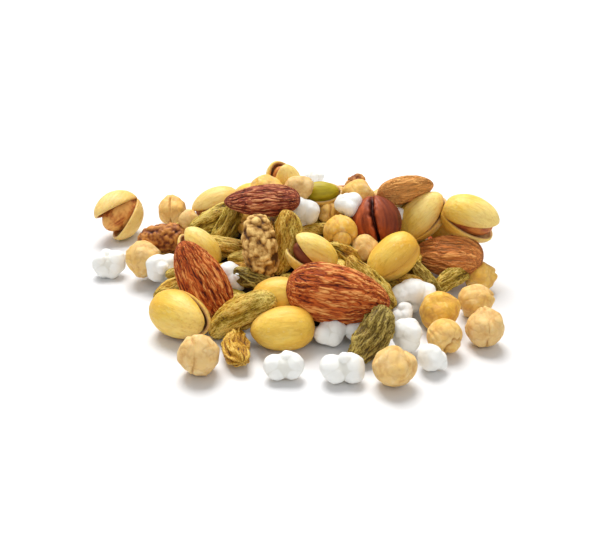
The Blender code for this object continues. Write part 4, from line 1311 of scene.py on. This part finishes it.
# The caps are painted bright and the gaps between them nearly black: painted highlight and painted shade
# over the bump. Tan and red are the berries' own colours.
cap = (f.relief * 0.95 + wrinkles * 0.45 - 0.2).clamped()
tan = f.ramp(cap, (0.34, (0.1, 0.036, 0.005)), (0.62, (0.4, 0.185, 0.03)), (0.98, (0.92, 0.6, 0.2)))
red = f.ramp(cap, (0.3, (0.045, 0.01, 0.003)), (0.62, (0.23, 0.055, 0.008)), (0.98, (0.6, 0.24, 0.045)))
skin = f.mix(f.step(f.tone + clouds * 0.9 - 0.45, 0.25, 0.8), tan, red)
mulberries.data.materials.append(f.done(skin, 0.5 + wrinkles * 0.2, cap + wrinkles * 0.4, 0.22 * MM, 0.8))
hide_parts("trail_mix_heap")
print("mulberry skin on", len(mulberries.data.polygons), "faces")

# %% [markdown]
# ## The hazelnut
#
# One dark round nut lies in its skin, split by a crack that roasting opened. The crack is a narrow
# groove in the radius, so the columns of the grid crowd together where it runs.


# %% The hazelnut and its skin
CRACK_DEPTH = 0.24


def hazelnut_surface(t, a, place, seed):
    """A ball with a low point at its head, fine ridges along it, and a groove that wanders down its face."""
    way = direction(t, a)
    off = way[:, 1] - 0.05 * np.sin(3 * way[:, 0] + 0.5) - 0.02 * noise(way * 4, seed)
    face = np.clip(way[:, 2] * 3 + 0.4, 0, 1) * np.clip((1.08 - np.abs(way[:, 0])) * 4, 0, 1)
    width = 0.07 + 0.022 * np.cos(2.2 * way[:, 0] - 0.6) + 0.03 * noise(way * 7, seed + 9)
    crack = swell(off, 0, width) * face
    lips = both_sides(off, 2.4 * width, 1.5 * width) * face
    ridges = folds(around(t, a, 1.2, 6.5), seed + 1) * np.minimum(1, 1.5 * np.sin(t))
    out = 0.97 + 0.012 * noise(way * 2, seed + 2) + 0.01 * ridges - CRACK_DEPTH * crack + 0.012 * lips
    out += 0.04 * np.clip(way[:, 0], 0, 1) ** 6
    radius = place.size * HAZELNUT / 2
    return way * (radius * out)[:, None], np.clip(0.65 + 0.25 * ridges - 1.2 * crack, 0, 1)


hazelnut = gather("hazelnut", ("hazelnut",), hazelnut_surface, rows=90, columns=128, crowd=0.8)
hazelnut_skin = Finish("hazelnut_skin", Specular_IOR_Level=0.25)
f = hazelnut_skin
streaks = f.grain((0.3, 1.4, 1.4), 4.0)
dust = f.grain((3.0, 3.4, 3.4), 2.0)
sideways = f.axis("Y")
# The crack is painted nearly black, as painted shade down in it. The ridges and streaks are the skin's own.
skin = f.ramp(
    (f.relief * 0.6 + streaks * 0.5 - 0.05).clamped(),
    (0.1, (0.004, 0.001, 0.0005)),
    (0.42, (0.15, 0.02, 0.006)),
    (0.85, (0.6, 0.125, 0.03)),
)
# One side of the nut is painted darker: painted shade on the side away from the light.
skin = f.mix(f.step(sideways, 1.0, -4.5) * 0.6, skin, (0.08, 0.01, 0.004))
skin = f.mix(f.step(dust, 0.6, 0.8) * 0.3, skin, (0.44, 0.19, 0.1))
hazelnut.data.materials.append(f.done(skin, 0.38 + streaks * 0.25, streaks + dust * 0.4, 0.12 * MM, 0.6))
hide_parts("trail_mix_heap")

# %% [markdown]
# ## What lies underneath
#
# Between the pieces one looks into the shaded middle of the heap. Nothing there can be told apart, so it
# is one low dome of crumbs, closed below, painted nearly black as painted shade. It is lower and smaller
# than the solids' own core, and its rim waves, so that no dark disc shows between the outer pieces.


# %% The core
CORE_SHARE = 0.76
CORE_SUNK = 1.8 * MM
DOME_SHARE = 0.9
CRUMB = 3.1 * MM
CRUMB_LIFT = 1.1 * MM


def core_surface(t, a):
    """A dome down to the table for t up to nine tenths of a half turn, then a flat foot back to the
    middle. Crumbs are folds of noise in two sizes."""
    share = np.clip(t / (DOME_SHARE * math.pi), 0, 1)
    foot = np.clip((t - DOME_SHARE * math.pi) / ((1 - DOME_SHARE) * math.pi), 0, 1)
    reach = CORE_RADIUS * CORE_SHARE * (1 + 0.1 * np.sin(5 * a + 1)) * share * (1 - foot)
    x, y = reach * np.cos(a) + STAND[0], reach * np.sin(a) + STAND[1]
    top = np.sqrt(CORE_BALL**2 - (reach / CORE_SHARE) ** 2) + CORE_MIDDLE[2] - CORE_SUNK
    below = np.column_stack((x, y, 0 * x))
    crumbs_in_painted_shade = folds(below / CRUMB, 71) + 0.5 * folds(below / MM, 72)
    z = np.where(foot > 0, 0.0, top + CRUMB_LIFT * (crumbs_in_painted_shade - 0.4) * (1 - share**8))
    return np.column_stack((x, y, z)), np.clip(0.5 + 0.4 * crumbs_in_painted_shade, 0, 1)


heap_core = Gathered("core")
t, a, quads, corners = ball_grid(even(90), 120)
xyz, relief = core_surface(t, a)
heap_core.add(xyz, quads, corners, np.eye(3), np.zeros(3), 0.5, relief)
heap_core = heap_core.finish()
core_shade = Finish("crumbs_in_painted_shade", Roughness=0.8)
f = core_shade
rough = f.grain(0.5, 4.0)
# The core is painted nearly black: painted shade for the deep middle of the heap.
dark = f.ramp(
    (f.relief * 0.6 + rough * 0.5).clamped(),
    (0.2, (0.01, 0.004, 0.002)),
    (0.9, (0.09, 0.04, 0.014)),
)
heap_core.data.materials.append(f.done(dark, height=rough, distance=0.4 * MM))
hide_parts("trail_mix_heap")

# %% [markdown]
# ## Table, light and camera
#
# The picture was taken on white under a wide soft light. A pale table with a bright even sky gives the
# faint shadows, one large lamp above and behind gives the tops their light, and a weak one in front
# lightens the near sides.


# %% Table and light
bpy.ops.mesh.primitive_plane_add(size=4)
table = bpy.context.object
table.name = "table"
paper = bpy.data.materials.new("paper")
paper.use_nodes = True
paper_inputs = paper.node_tree.nodes["Principled BSDF"].inputs
paper_inputs["Base Color"].default_value = (0.78, 0.78, 0.785, 1)
paper_inputs["Roughness"].default_value = 0.6
table.data.materials.append(paper)

sky = bpy.data.worlds.new("sky")
bpy.context.scene.world = sky
sky.use_nodes = True
sky_inputs = sky.node_tree.nodes["Background"].inputs
sky_inputs["Color"].default_value = (1.0, 1.0, 1.0, 1)
sky_inputs["Strength"].default_value = 0.48


def lamp(name, place, aim, size, watts):
    """A square lamp at a place, turned to its aim."""
    light = bpy.data.lights.new(name, "AREA")
    light.size, light.energy = size, watts
    made = bpy.data.objects.new(name, light)
    made.location = place
    away = np.array(place) - np.array(aim)
    tilt, heading = math.atan2(math.hypot(away[0], away[1]), away[2]), math.atan2(away[1], away[0])
    made.rotation_euler = (tilt, 0, heading + math.pi / 2)
    bpy.context.scene.collection.objects.link(made)


lamp("soft_top", (-0.15, 0.6, 1.15), aim=(0, 0, 0), size=0.8, watts=21.0)
lamp("soft_front", (0.25, -0.9, 0.9), aim=(0, 0, 0), size=0.6, watts=2.4)
print("a table, a sky and two lamps")

# %% Camera
lens = bpy.data.cameras.new("camera")
lens.sensor_width = 36
lens.lens = FOCAL_PIXELS / PICTURE[0] * lens.sensor_width
lens.clip_start = 0.01
camera = bpy.data.objects.new("camera", lens)
camera.location = EYE
camera.rotation_euler = (math.pi / 2 - LOOK_DOWN, 0, 0)
bpy.context.scene.collection.objects.link(camera)
bpy.context.scene.camera = camera
bpy.context.scene.view_settings.view_transform = "Standard"
print("the lens is", round(lens.lens), "mm")
